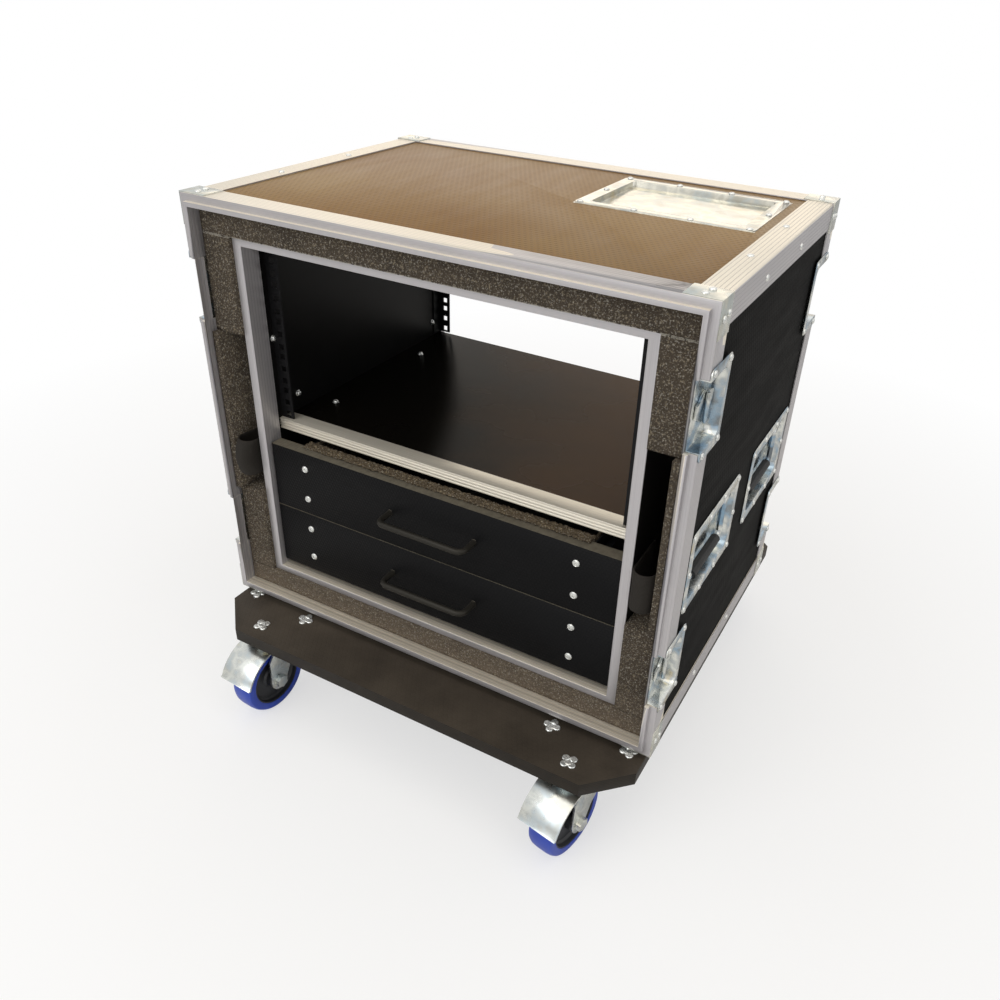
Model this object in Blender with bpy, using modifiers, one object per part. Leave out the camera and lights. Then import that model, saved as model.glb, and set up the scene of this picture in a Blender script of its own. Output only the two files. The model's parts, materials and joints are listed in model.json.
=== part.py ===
"""Shock-mounted rack case on a caster board, in metres, +Z up, front towards -Y.

The origin is on the floor under the middle of the caster board. The shell is made of
panels held in aluminium rims and edge angles. Inside it, foam carries a plywood sleeve
with a five-unit rack bay over two drawers.
"""

import math

import bmesh
import bpy
from mathutils import Matrix, Vector

# Gaps and sheet
CLEARANCE = 0.0003
FUSE = 0.0002
SKIN = 0.0015
PRESSING = 0.0012
OVERSHOOT = 0.01

# Shell
CASE_WIDTH = 0.613
CASE_DEPTH = 0.434
CASE_HEIGHT = 0.533
PANEL_THICKNESS = 0.0095
EDGE_LEG = 0.030
EDGE_ROUND = 0.003
GLUE_INSET = 0.001

# Rims
RIM_FLANGE = 0.030
RIM_STEP = 0.008
RIM_WIDTH = 0.017
RIM_CORE = 0.0075
RIM_LIP = 0.022
TONGUE_HEIGHT = 0.005
BRACE_LEG = 0.035

# Latches
LATCH_FROM_TOP = 0.107
LATCH_FROM_BOTTOM = 0.112
LATCH_PLATE_HEIGHT = 0.092
LATCH_PLATE_DEPTH = 0.058
LATCH_RECESS_HEIGHT = 0.070
LATCH_RECESS_DEPTH = 0.049
LATCH_SINK = 0.0115
LATCH_CENTRE = 0.026
LATCH_PLATE_CORNER = 0.006
LATCH_RECESS_CORNER = 0.008
CAM_RADIUS = 0.015
CAM_THICKNESS = 0.0025
WING_LENGTH = 0.033
WING_REACH = 0.0135
WING_THICKNESS = 0.002
WING_BARREL = 0.0022
HOOK_WIDTH = 0.020
HOOK_REACH = 0.004

# Recessed handles
HANDLE_FROM_RIM = 0.114
HANDLE_HEIGHT = 0.229
HANDLE_PLATE_LENGTH = 0.156
HANDLE_PLATE_HEIGHT = 0.102
HANDLE_RECESS_LENGTH = 0.132
HANDLE_RECESS_HEIGHT = 0.078
HANDLE_SINK = 0.016
HANDLE_PLATE_CORNER = 0.008
HANDLE_RECESS_CORNER = 0.010
BAIL_PIVOT_DROP = 0.014
BAIL_PIVOT_SINK = 0.0075
BAIL_SPAN = 0.104
BAIL_DROP = 0.046
BAIL_ROD = 0.007
BAIL_BEND = 0.008
GRIP_DIAMETER = 0.012
GRIP_LENGTH = 0.082

# Label dish
LABEL_FROM_RIGHT = 0.146
LABEL_FROM_BACK = 0.1265
LABEL_PLATE_WIDTH = 0.208
LABEL_PLATE_DEPTH = 0.155
LABEL_BORDER = 0.015
LABEL_SINK = 0.006
LABEL_PLATE_CORNER = 0.008
LABEL_RECESS_CORNER = 0.006

# Space between the shell and the sleeve
SIDE_SPACE = 0.0531
UNDER_SPACE = 0.0405
OVER_SPACE = 0.0432
END_SPACE = 0.015

# Foam
FOAM_SETBACK = 0.0025
FOAM_UPPER_BLOCK = 0.114
FOAM_LOWER_BLOCK = 0.1225
FOAM_LAYER = 0.008

# Sleeve
SLEEVE_SIDE_WALL = 0.0092
SLEEVE_TOP_WALL = 0.0060
TRIM_SIDE_FACE = 0.012
TRIM_TOP_FACE = 0.0088
FRONT_TRIM_RETURN = 0.0265
REAR_TRIM_RETURN = 0.009
TRIM_SHEET = 0.0018

# Rack rails
RACK_UNIT = 0.04445
RAIL_UNITS = 5
RAIL_FACE = 0.0192
RAIL_HOLE_INSET = 0.00755
RAIL_HOLE = 0.0071
RAIL_SHEET = 0.002
RAIL_DEPTH = 0.018
FRONT_RAIL_SETBACK = 0.009
REAR_RAIL_SETBACK = 0.0005
HOLE_OFFSETS = (0.00635, 0.022225, 0.0381)

# Shelf
SHELF_NOSE_HEIGHT = 0.0137
SHELF_NOSE_DEPTH = 0.022
SHELF_BOARD = 0.010
SHELF_SETBACK = 0.0035
SHELF_GAP = 0.01015
NOSE_RIB = 0.0008

# Drawers
DRAWER_SIDE_GAP = 0.00215
DRAWER_GAP = 0.0008
DRAWER_LIFT = 0.0083
DRAWER_SETBACK = 0.0063
DRAWER_FRONT_THICKNESS = 0.017
RUNNER_SPACE = 0.025
DRAWER_BOX_DEPTH = 0.335
DRAWER_BOX_WALL = 0.0015
DRAWER_BOX_TOP_DROP = 0.004
DRAWER_BOX_BOTTOM_RISE = 0.010
PULL_SPAN = 0.118
PULL_HEIGHT = 0.046
PULL_REACH = 0.031
PULL_ROD = 0.008
PULL_BEND = 0.010
RUNNER_HEIGHT = 0.034
RUNNER_THICKNESS = 0.005
RUNNER_LIP = 0.004
RUNNER_PLAY = 0.0006
BRACKET_THICKNESS = 0.003
BRACKET_INSET = 0.030

# Lifting straps
STRAP_WIDTH = 0.050
STRAP_THICKNESS = 0.0028
STRAP_PLAY = 0.0045
STRAP_LEG = 0.060
STRAP_SETBACK = 0.016
STRAP_ABOVE_FOAM = 0.026

# Caster board
BOARD_SIDE_SETBACK = 0.005
BOARD_THICKNESS = 0.018
BOARD_CHAMFER = 0.048
BOARD_FRONT_REACH = 0.0715
BOARD_REAR_REACH = 0.116
FOOT_HEIGHT = 0.007
FOOT_RADIUS = 0.016
FOOT_INSET = 0.065

# Casters
CASTER_HEIGHT = 0.125
CASTER_INSET_X = 0.068
CASTER_INSET_Y = 0.0685
CASTER_PLATE_LENGTH = 0.100
CASTER_PLATE_WIDTH = 0.085
CASTER_PLATE_THICKNESS = 0.003
CASTER_PLATE_CORNER = 0.008
RACE_RADIUS = 0.033
RACE_HEIGHT = 0.008
RACE_GAP = 0.0005
WHEEL_RADIUS = 0.050
WHEEL_WIDTH = 0.035
TYRE_DEPTH = 0.012
TYRE_SHOULDER = 0.004
HUB_RADIUS = 0.014
HUB_WIDTH = 0.039
WEB_WIDTH = 0.016
WEB_SLOPE = 0.003
TYRE_SET_IN = 0.001
AXLE_RADIUS = 0.005
AXLE_TRAIL = 0.040
AXLE_PLAY = 0.0004
NUT_RADIUS = 0.009
NUT_HEIGHT = 0.006
FORK_SHEET = 0.003
FORK_CROWN_GAP = 0.003
FORK_EYE = 0.014
FORK_TOP_LENGTH = 0.060
FORK_CORNER = 0.004
FORK_CHEEK_INSET = 0.006
FORK_SHOULDER = 0.016
PEDAL_WIDTH = 0.054
PEDAL_SHEET = 0.0024
PEDAL_CLEARANCE = 0.0072
PEDAL_END_ANGLE = math.radians(21)
PEDAL_BARREL = 0.0026
PEDAL_LIP = 0.004
FRONT_LEFT_HEADING = math.radians(-4)
FRONT_RIGHT_HEADING = math.radians(-10)

# Insets from the shell's outer faces
PANEL_INSET = SKIN + CLEARANCE
CORE = PANEL_INSET + PANEL_THICKNESS
LIP_INSET = CORE + CLEARANCE
FOAM_INSET = LIP_INSET + SKIN + CLEARANCE
LAYER_INSET = FOAM_INSET + FOAM_LAYER
PANEL_START = RIM_CORE + CLEARANCE

# Sizes that follow from those above
HALF_WIDTH = CASE_WIDTH / 2
SLEEVE_WIDTH = CASE_WIDTH - 2 * SIDE_SPACE
SLEEVE_DEPTH = CASE_DEPTH - 2 * END_SPACE
SLEEVE_HEIGHT = CASE_HEIGHT - UNDER_SPACE - OVER_SPACE
SLEEVE_HALF = SLEEVE_WIDTH / 2
BAY_HALF = SLEEVE_HALF - SLEEVE_SIDE_WALL
RAIL_OPENING = 2 * (BAY_HALF - RAIL_FACE)
RAIL_HALF_OPENING = RAIL_OPENING / 2
RAIL_HOLE_SPACING = RAIL_OPENING + 2 * RAIL_HOLE_INSET
RACK_HEIGHT = RAIL_UNITS * RACK_UNIT
CLEAR_HEIGHT = SLEEVE_HEIGHT - 2 * TRIM_TOP_FACE - CLEARANCE
DRAWER_STACK = CLEAR_HEIGHT - RACK_HEIGHT - SHELF_NOSE_HEIGHT - SHELF_GAP - DRAWER_LIFT
DRAWER_FRONT_HEIGHT = (DRAWER_STACK - DRAWER_GAP) / 2
DRAWER_WIDTH = SLEEVE_WIDTH - 2 * (TRIM_SIDE_FACE + DRAWER_SIDE_GAP)
DRAWER_BOX_WIDTH = RAIL_OPENING - 2 * RUNNER_SPACE
STRAP_LOOP = SIDE_SPACE - LAYER_INSET - STRAP_PLAY - STRAP_THICKNESS
BOARD_WIDTH = CASE_WIDTH - 2 * BOARD_SIDE_SETBACK
BOARD_DEPTH = BOARD_FRONT_REACH + CASE_DEPTH + BOARD_REAR_REACH

# Planes of the case
BOARD_TOP = CASTER_HEIGHT + BOARD_THICKNESS
CASE_BOTTOM = BOARD_TOP + FOOT_HEIGHT
CASE_TOP = CASE_BOTTOM + CASE_HEIGHT
CASE_FRONT = BOARD_FRONT_REACH - BOARD_DEPTH / 2
CASE_BACK = CASE_FRONT + CASE_DEPTH
FOAM_FRONT = CASE_FRONT + RIM_CORE + FOAM_SETBACK
FOAM_BACK = CASE_BACK - RIM_CORE - FOAM_SETBACK

SLEEVE_FRONT = CASE_FRONT + END_SPACE
SLEEVE_BACK = SLEEVE_FRONT + SLEEVE_DEPTH
SLEEVE_BOTTOM = CASE_BOTTOM + UNDER_SPACE
SLEEVE_TOP = SLEEVE_BOTTOM + SLEEVE_HEIGHT
BAY_BOTTOM = SLEEVE_BOTTOM + SLEEVE_TOP_WALL
BAY_TOP = SLEEVE_TOP - SLEEVE_TOP_WALL

RAIL_TOP = SLEEVE_TOP - TRIM_TOP_FACE - CLEARANCE
SHELF_TOP = RAIL_TOP - RACK_HEIGHT
FRONT_RETURN = SLEEVE_FRONT + FRONT_TRIM_RETURN
REAR_RETURN = SLEEVE_BACK - REAR_TRIM_RETURN
FRONT_RAIL_FACE = FRONT_RETURN + FRONT_RAIL_SETBACK
REAR_RAIL_FACE = REAR_RETURN - REAR_RAIL_SETBACK - RAIL_SHEET

DRAWER_FACE = SLEEVE_FRONT + DRAWER_SETBACK
DRAWER_FACE_BACK = DRAWER_FACE + DRAWER_FRONT_THICKNESS
LOWER_DRAWER = SLEEVE_BOTTOM + TRIM_TOP_FACE + DRAWER_LIFT
UPPER_DRAWER = LOWER_DRAWER + DRAWER_FRONT_HEIGHT + DRAWER_GAP

LATCH_LEVELS = {"upper": CASE_TOP - LATCH_FROM_TOP, "lower": CASE_BOTTOM + LATCH_FROM_BOTTOM}
HANDLE_LEVEL = CASE_BOTTOM + HANDLE_HEIGHT
SIDES = {"left": -1, "right": 1}
ENDS = {"front": 1, "rear": -1}

AXLE_HEIGHT = WHEEL_RADIUS
CROWN_BOTTOM = 2 * WHEEL_RADIUS + FORK_CROWN_GAP
CROWN_TOP = CROWN_BOTTOM + FORK_SHEET
PLATE_BOTTOM = CASTER_HEIGHT - CASTER_PLATE_THICKNESS
UPPER_RACE_BOTTOM = PLATE_BOTTOM - RACE_HEIGHT
LOWER_RACE_TOP = UPPER_RACE_BOTTOM - RACE_GAP
FORK_INSIDE = HUB_WIDTH / 2 + CLEARANCE
PEDAL_INNER = WHEEL_RADIUS + PEDAL_CLEARANCE
PEDAL_HINGE_HEIGHT = CROWN_TOP + CLEARANCE + PEDAL_BARREL
SWIVEL_X = BOARD_WIDTH / 2 - CASTER_INSET_X
SWIVEL_Y = BOARD_DEPTH / 2 - CASTER_INSET_Y


def clear_scene():
    for obj in list(bpy.data.objects):
        bpy.data.objects.remove(obj, do_unlink=True)


def new_collection(name):
    collection = bpy.data.collections.new(name)
    bpy.context.scene.collection.children.link(collection)
    return collection


def new_material(name, color, roughness, metallic):
    material = bpy.data.materials.new(name)
    material.use_nodes = True
    shader = material.node_tree.nodes["Principled BSDF"]
    shader.inputs["Base Color"].default_value = (*color, 1.0)
    shader.inputs["Roughness"].default_value = roughness
    shader.inputs["Metallic"].default_value = metallic
    material.diffuse_color = (*color, 1.0)
    return material


clear_scene()
PARTS = new_collection("rack_case")
CUTTERS = new_collection("rack_case_cutters")

MATERIALS = {
    "top_laminate": new_material("top_laminate", (0.20, 0.13, 0.06), 0.5, 0.0),
    "side_laminate": new_material("side_laminate", (0.02, 0.02, 0.02), 0.55, 0.0),
    "aluminium": new_material("aluminium", (0.72, 0.70, 0.68), 0.38, 1.0),
    "zinc": new_material("zinc", (0.70, 0.74, 0.78), 0.2, 1.0),
    "foam": new_material("foam", (0.06, 0.05, 0.04), 0.95, 0.0),
    "sleeve_laminate": new_material("sleeve_laminate", (0.015, 0.015, 0.015), 0.4, 0.0),
    "black_steel": new_material("black_steel", (0.02, 0.02, 0.02), 0.4, 0.6),
    "grip_rubber": new_material("grip_rubber", (0.03, 0.03, 0.03), 0.7, 0.0),
    "webbing": new_material("webbing", (0.09, 0.08, 0.07), 0.8, 0.0),
    "board_laminate": new_material("board_laminate", (0.05, 0.04, 0.03), 0.5, 0.0),
    "tyre_blue": new_material("tyre_blue", (0.02, 0.06, 0.35), 0.5, 0.0),
}


def box(low, high):
    """A box between two corners, from a unit cube."""
    low = Vector(low)
    high = Vector(high)
    shape = bmesh.new()
    size = high - low
    place = Matrix.Translation((low + high) / 2) @ Matrix.Diagonal((*size, 1.0))
    bmesh.ops.create_cube(shape, size=1.0, matrix=place)
    return shape


def cylinder(start, end, radius, end_radius=None, steps=24):
    """A capped cylinder or cone between two points."""
    start = Vector(start)
    end = Vector(end)
    axis = end - start
    shape = bmesh.new()
    turn = axis.to_track_quat("Z", "Y").to_matrix().to_4x4()
    place = Matrix.Translation((start + end) / 2) @ turn
    bmesh.ops.create_cone(
        shape,
        cap_ends=True,
        segments=steps,
        radius1=radius,
        radius2=radius if end_radius is None else end_radius,
        depth=axis.length,
        matrix=place,
    )
    return shape


def mesh_from_curve(curve, weld=0.00001):
    """The closed mesh of a curve, with its caps welded, as a bmesh."""
    obj = bpy.data.objects.new("outline", curve)
    CUTTERS.objects.link(obj)
    graph = bpy.context.evaluated_depsgraph_get()
    mesh = bpy.data.meshes.new_from_object(obj.evaluated_get(graph))
    shape = bmesh.new()
    shape.from_mesh(mesh)
    bmesh.ops.remove_doubles(shape, verts=shape.verts, dist=weld)
    bmesh.ops.recalc_face_normals(shape, faces=shape.faces)
    bpy.data.objects.remove(obj, do_unlink=True)
    bpy.data.meshes.remove(mesh)
    return shape


AXIS_TURNS = {
    "x": Matrix(((0, 0, 1, 0), (1, 0, 0, 0), (0, 1, 0, 0), (0, 0, 0, 1))),
    "y": Matrix(((1, 0, 0, 0), (0, 0, -1, 0), (0, 1, 0, 0), (0, 0, 0, 1))),
    "z": Matrix.Identity(4),
}
AXIS_VECTORS = {"x": Vector((1, 0, 0)), "y": Vector((0, 1, 0)), "z": Vector((0, 0, 1))}


def prism(axis, outlines, start, end):
    """Flat outlines run along an axis: on x they hold (y, z), on y (x, z) and on z (x, y)."""
    curve = bpy.data.curves.new("outline", "CURVE")
    curve.dimensions = "2D"
    curve.fill_mode = "BOTH"
    curve.extrude = abs(end - start) / 2
    for outline in outlines:
        spline = curve.splines.new("POLY")
        spline.points.add(len(outline) - 1)
        for point, (across, up) in zip(spline.points, outline):
            point.co = (across, up, 0.0, 1.0)
        spline.use_cyclic_u = True
    shape = mesh_from_curve(curve)
    shift = Matrix.Translation(AXIS_VECTORS[axis] * (start + end) / 2)
    shape.transform(shift @ AXIS_TURNS[axis])
    bpy.data.curves.remove(curve)
    return shape


def rod(points, radius, resolution=2):
    """A round rod along points, with filled ends."""
    curve = bpy.data.curves.new("rod", "CURVE")
    curve.dimensions = "3D"
    curve.bevel_depth = radius
    curve.bevel_resolution = resolution
    curve.use_fill_caps = True
    spline = curve.splines.new("POLY")
    spline.points.add(len(points) - 1)
    for point, place in zip(spline.points, points):
        point.co = (*place, 1.0)
    shape = mesh_from_curve(curve)
    bpy.data.curves.remove(curve)
    return shape


def arc(centre, radius, start, end, steps):
    """Points of an arc in a plane, both ends included."""
    turns = [start + (end - start) * step / steps for step in range(steps + 1)]
    return [(centre[0] + radius * math.cos(t), centre[1] + radius * math.sin(t)) for t in turns]


def rectangle(low, high, radius=0.0, steps=3):
    """A rectangle's outline, anticlockwise, with round corners where a radius is given."""
    if radius == 0.0:
        return [low, (high[0], low[1]), high, (low[0], high[1])]
    quarter = math.pi / 2
    points = []
    for index, (x, y) in enumerate((high, (low[0], high[1]), low, (high[0], low[1]))):
        centre = (
            x - radius if index in (0, 3) else x + radius,
            y - radius if index in (0, 1) else y + radius,
        )
        points += arc(centre, radius, index * quarter, (index + 1) * quarter, steps)
    return points


def mitred_frame(profile, low, high, plane, inward):
    """A profile run round a rectangle in the XZ plane, with mitred corners.

    Each profile point holds its inset from the sides, its inset from the top and bottom,
    and its depth behind the plane, along inward.
    """
    shape = bmesh.new()
    loops = []
    for side, top, depth in profile:
        y = plane + inward * depth
        corners = (
            (low[0] + side, y, low[1] + top),
            (high[0] - side, y, low[1] + top),
            (high[0] - side, y, high[1] - top),
            (low[0] + side, y, high[1] - top),
        )
        loops.append([shape.verts.new(corner) for corner in corners])
    for index, loop in enumerate(loops):
        following = loops[(index + 1) % len(loops)]
        for corner in range(4):
            beside = (corner + 1) % 4
            shape.faces.new((loop[corner], loop[beside], following[beside], following[corner]))
    bmesh.ops.recalc_face_normals(shape, faces=shape.faces)
    return shape


def screw_solid(profile, steps):
    """A profile of (radius, height) turned about Z, running down its outer side."""
    mesh = bpy.data.meshes.new("turned")
    count = len(profile)
    edges = [(index, (index + 1) % count) for index in range(count)]
    mesh.from_pydata([(radius, 0.0, height) for radius, height in profile], edges, [])
    obj = bpy.data.objects.new("turned", mesh)
    CUTTERS.objects.link(obj)
    screw = obj.modifiers.new("turn", "SCREW")
    screw.axis = "Z"
    screw.steps = steps
    screw.render_steps = steps
    screw.use_merge_vertices = True
    screw.merge_threshold = 0.00001
    graph = bpy.context.evaluated_depsgraph_get()
    turned = bpy.data.meshes.new_from_object(obj.evaluated_get(graph))
    shape = bmesh.new()
    shape.from_mesh(turned)
    bmesh.ops.recalc_face_normals(shape, faces=shape.faces)
    bpy.data.objects.remove(obj, do_unlink=True)
    bpy.data.meshes.remove(turned)
    bpy.data.meshes.remove(mesh)
    return shape


def placed(shape, place):
    """Moves a shape, and turns its faces back round where the move mirrors it."""
    shape.transform(place)
    if place.determinant() < 0:
        bmesh.ops.reverse_faces(shape, faces=shape.faces)
    return shape


def to_mesh(name, shape, pivot=Vector((0, 0, 0))):
    mesh = bpy.data.meshes.new(name)
    shape.transform(Matrix.Translation(-pivot))
    shape.to_mesh(mesh)
    shape.free()
    return mesh


def node(name, shape, material, steps=(), pivot=(0, 0, 0), parent=None):
    """One sub-part. Each step is ("UNION" or "DIFFERENCE", shape); the pivot is on its joint axis."""
    pivot = Vector(pivot)
    obj = bpy.data.objects.new(name, to_mesh(name, shape, pivot))
    obj.data.materials.append(MATERIALS[material])
    obj.location = pivot
    if parent is not None:
        obj.parent = parent
        obj.location = pivot - parent.matrix_world.translation
    PARTS.objects.link(obj)
    for index, (operation, tool_shape) in enumerate(steps):
        tool_name = f"{name}_{operation.lower()}_{index}"
        tool = bpy.data.objects.new(tool_name, to_mesh(tool_name, tool_shape))
        tool.hide_render = True
        tool.display_type = "WIRE"
        CUTTERS.objects.link(tool)
        modifier = obj.modifiers.new(operation.lower(), "BOOLEAN")
        modifier.operation = operation
        modifier.object = tool
        modifier.solver = "EXACT"
    bpy.context.view_layer.update()
    return obj


def merged(shapes):
    """Separate shapes held in one mesh, for one Boolean."""
    whole = bmesh.new()
    for shape in shapes:
        mesh = bpy.data.meshes.new("piece")
        shape.to_mesh(mesh)
        shape.free()
        whole.from_mesh(mesh)
        bpy.data.meshes.remove(mesh)
    return whole


def shade_round(obj, angle=math.radians(35)):
    obj.data.shade_smooth()
    obj.data.set_sharp_from_angle(angle=angle)


def side_place(side):
    """From (inset from the side's outer face, y, z) to the world."""
    if side > 0:
        return Matrix.Translation((HALF_WIDTH, 0, 0)) @ Matrix.Diagonal((-1, 1, 1, 1))
    return Matrix.Translation((-HALF_WIDTH, 0, 0))


def latch_place(side, end, level):
    """From (inset from the side, depth behind the rim plane, height over the latch) to the world."""
    plane = CASE_FRONT if end > 0 else CASE_BACK
    move = Matrix.Translation((0, plane, level)) @ Matrix.Diagonal((1, end, 1, 1))
    return side_place(side) @ move


def handle_place(side, end):
    """From (inset from the side, along the handle, height over its middle) to the world."""
    plane = CASE_FRONT if end > 0 else CASE_BACK
    middle = plane + end * HANDLE_FROM_RIM
    return side_place(side) @ Matrix.Translation((0, middle, HANDLE_LEVEL))


def latch_pocket(gap):
    """The space that a latch dish takes in the panel and the foam."""
    half = LATCH_RECESS_HEIGHT / 2 + PRESSING + gap
    deep = LATCH_RECESS_DEPTH + PRESSING + gap
    return box((-OVERSHOOT, -OVERSHOOT, -half), (LATCH_SINK + PRESSING + gap, deep, half))


def handle_pocket(gap):
    """The space that a handle dish takes in the panel and the foam."""
    along = HANDLE_RECESS_LENGTH / 2 + PRESSING + gap
    up = HANDLE_RECESS_HEIGHT / 2 + PRESSING + gap
    return box((-OVERSHOOT, -along, -up), (HANDLE_SINK + PRESSING + gap, along, up))


def edge_angles(level, up):
    """Both edge angles of the top or bottom. A glue line keys each core to the panel."""
    quarter = math.pi / 2
    seam = CORE + CLEARANCE + FUSE
    outline = arc((EDGE_ROUND, EDGE_ROUND), EDGE_ROUND, 2 * quarter, 3 * quarter, 4)
    outline += [
        (EDGE_LEG, 0),
        (EDGE_LEG, SKIN),
        (CORE, SKIN),
        (CORE, PANEL_INSET + GLUE_INSET),
        (seam, PANEL_INSET + GLUE_INSET),
        (seam, CORE - GLUE_INSET),
        (CORE, CORE - GLUE_INSET),
        (CORE, CORE),
        (SKIN, CORE),
        (SKIN, EDGE_LEG),
        (0, EDGE_LEG),
    ]
    start = CASE_FRONT + RIM_FLANGE + CLEARANCE
    end = CASE_BACK - RIM_FLANGE - CLEARANCE
    move = Matrix.Translation((0, 0, level)) @ Matrix.Diagonal((1, 1, up, 1))
    angles = []
    for side in SIDES.values():
        angles.append(placed(prism("y", [outline], start, end), side_place(side) @ move))
    return merged(angles)


def make_panels():
    """Four laminate panels. The top and bottom carry the edge angles glued along them."""
    front = CASE_FRONT + PANEL_START
    back = CASE_BACK - PANEL_START
    half = HALF_WIDTH - CORE - CLEARANCE
    top = box((-half, front, CASE_TOP - CORE), (half, back, CASE_TOP - PANEL_INSET))
    steps = [("UNION", edge_angles(CASE_TOP, -1))]
    steps += [("UNION", label_dish()), ("DIFFERENCE", label_recess())]
    node("top_panel", top, "top_laminate", steps)

    bottom = box((-half, front, CASE_BOTTOM + PANEL_INSET), (half, back, CASE_BOTTOM + CORE))
    feet = []
    for x in (-half + FOOT_INSET, half - FOOT_INSET):
        for y in (front + FOOT_INSET, back - FOOT_INSET):
            feet.append(
                cylinder(
                    (x, y, BOARD_TOP + CLEARANCE),
                    (x, y, CASE_BOTTOM + PANEL_INSET + FUSE),
                    FOOT_RADIUS * 0.85,
                    FOOT_RADIUS,
                    16,
                )
            )
    steps = [("UNION", edge_angles(CASE_BOTTOM, 1)), ("UNION", merged(feet))]
    node("bottom_panel", bottom, "side_laminate", steps)

    for name, side in SIDES.items():
        place = side_place(side)
        low = (PANEL_INSET, front, CASE_BOTTOM + CORE + CLEARANCE)
        high = (CORE, back, CASE_TOP - CORE - CLEARANCE)
        panel = placed(box(low, high), place)
        notches = []
        for end in ENDS.values():
            notches.append(placed(handle_pocket(CLEARANCE), handle_place(side, end)))
            for level in LATCH_LEVELS.values():
                notches.append(placed(latch_pocket(CLEARANCE), latch_place(side, end, level)))
        node(f"{name}_panel", panel, "side_laminate", [("DIFFERENCE", merged(notches))])


def handle_dish():
    """The pressed body of a recessed handle: a cup under a flat border, as one closed shape."""
    plate = (HANDLE_PLATE_LENGTH / 2, HANDLE_PLATE_HEIGHT / 2)
    cup = (
        HANDLE_RECESS_LENGTH / 2 + PRESSING,
        HANDLE_RECESS_HEIGHT / 2 + PRESSING,
    )
    border_back = PANEL_INSET - CLEARANCE
    border = prism(
        "x",
        [rectangle((-plate[0], -plate[1]), plate, HANDLE_PLATE_CORNER)],
        border_back - PRESSING,
        border_back,
    )
    low = (border_back - PRESSING / 2, -cup[0], -cup[1])
    body = box(low, (HANDLE_SINK + PRESSING, cup[0], cup[1]))
    return joined(border, body)


def handle_recess():
    along = HANDLE_RECESS_LENGTH / 2
    up = HANDLE_RECESS_HEIGHT / 2
    outline = rectangle((-along, -up), (along, up), HANDLE_RECESS_CORNER)
    return prism("x", [outline], -OVERSHOOT, HANDLE_SINK)


def joined(base, *others):
    """One closed shape from shapes that run into each other, by Boolean unions."""
    obj = bpy.data.objects.new("base", to_mesh("base", base))
    CUTTERS.objects.link(obj)
    tools = []
    for other in others:
        tool = bpy.data.objects.new("tool", to_mesh("tool", other))
        CUTTERS.objects.link(tool)
        modifier = obj.modifiers.new("union", "BOOLEAN")
        modifier.operation = "UNION"
        modifier.object = tool
        modifier.solver = "EXACT"
        tools.append(tool)
    graph = bpy.context.evaluated_depsgraph_get()
    result = bpy.data.meshes.new_from_object(obj.evaluated_get(graph))
    shape = bmesh.new()
    shape.from_mesh(result)
    for used in [obj, *tools]:
        mesh = used.data
        bpy.data.objects.remove(used, do_unlink=True)
        bpy.data.meshes.remove(mesh)
    bpy.data.meshes.remove(result)
    return shape


def label_box(width, depth):
    """Low x, low y, high x and high y of a rectangle about the label dish's middle."""
    x = HALF_WIDTH - LABEL_FROM_RIGHT
    y = CASE_BACK - LABEL_FROM_BACK
    return (x - width / 2, y - depth / 2, x + width / 2, y + depth / 2)


def label_dish():
    """A shallow pressed dish for a card: a flat border over a cup in the top panel."""
    under = CASE_TOP - PANEL_INSET - FUSE
    plate = label_box(LABEL_PLATE_WIDTH, LABEL_PLATE_DEPTH)
    return prism("z", [rectangle(plate[:2], plate[2:], LABEL_PLATE_CORNER)], under, under + PRESSING)


def label_recess():
    inside = label_box(LABEL_PLATE_WIDTH - 2 * LABEL_BORDER, LABEL_PLATE_DEPTH - 2 * LABEL_BORDER)
    outline = rectangle(inside[:2], inside[2:], LABEL_RECESS_CORNER)
    floor = CASE_TOP - PANEL_INSET - LABEL_SINK
    return prism("z", [outline], floor, CASE_TOP + OVERSHOOT)


def latch_dish():
    """The pressed body of a latch: a cup, open towards the rim, under a flat border."""
    half = LATCH_PLATE_HEIGHT / 2
    cup = LATCH_RECESS_HEIGHT / 2 + PRESSING
    deep = LATCH_RECESS_DEPTH + PRESSING
    border = prism(
        "x",
        [rectangle((CLEARANCE, -half), (LATCH_PLATE_DEPTH, half), LATCH_PLATE_CORNER)],
        -CLEARANCE - PRESSING,
        -CLEARANCE,
    )
    low = (-CLEARANCE - PRESSING / 2, CLEARANCE + FUSE, -cup)
    body = box(low, (LATCH_SINK + PRESSING, deep, cup))
    return joined(border, body)


def latch_recess():
    half = LATCH_RECESS_HEIGHT / 2
    corner = LATCH_RECESS_CORNER
    outline = [(-OVERSHOOT, -half)]
    outline += arc((LATCH_RECESS_DEPTH - corner, -half + corner), corner, -math.pi / 2, 0, 3)
    outline += arc((LATCH_RECESS_DEPTH - corner, half - corner), corner, 0, math.pi / 2, 3)
    outline += [(-OVERSHOOT, half)]
    return prism("x", [outline], -OVERSHOOT, LATCH_SINK)


def rim_notch():
    """The stretch of rim that a latch dish takes the place of; the tongue's inner side runs on."""
    half = LATCH_RECESS_HEIGHT / 2 + PRESSING + CLEARANCE
    return box((-OVERSHOOT, -OVERSHOOT, -half), (FOAM_INSET, RIM_FLANGE + OVERSHOOT, half))


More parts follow.
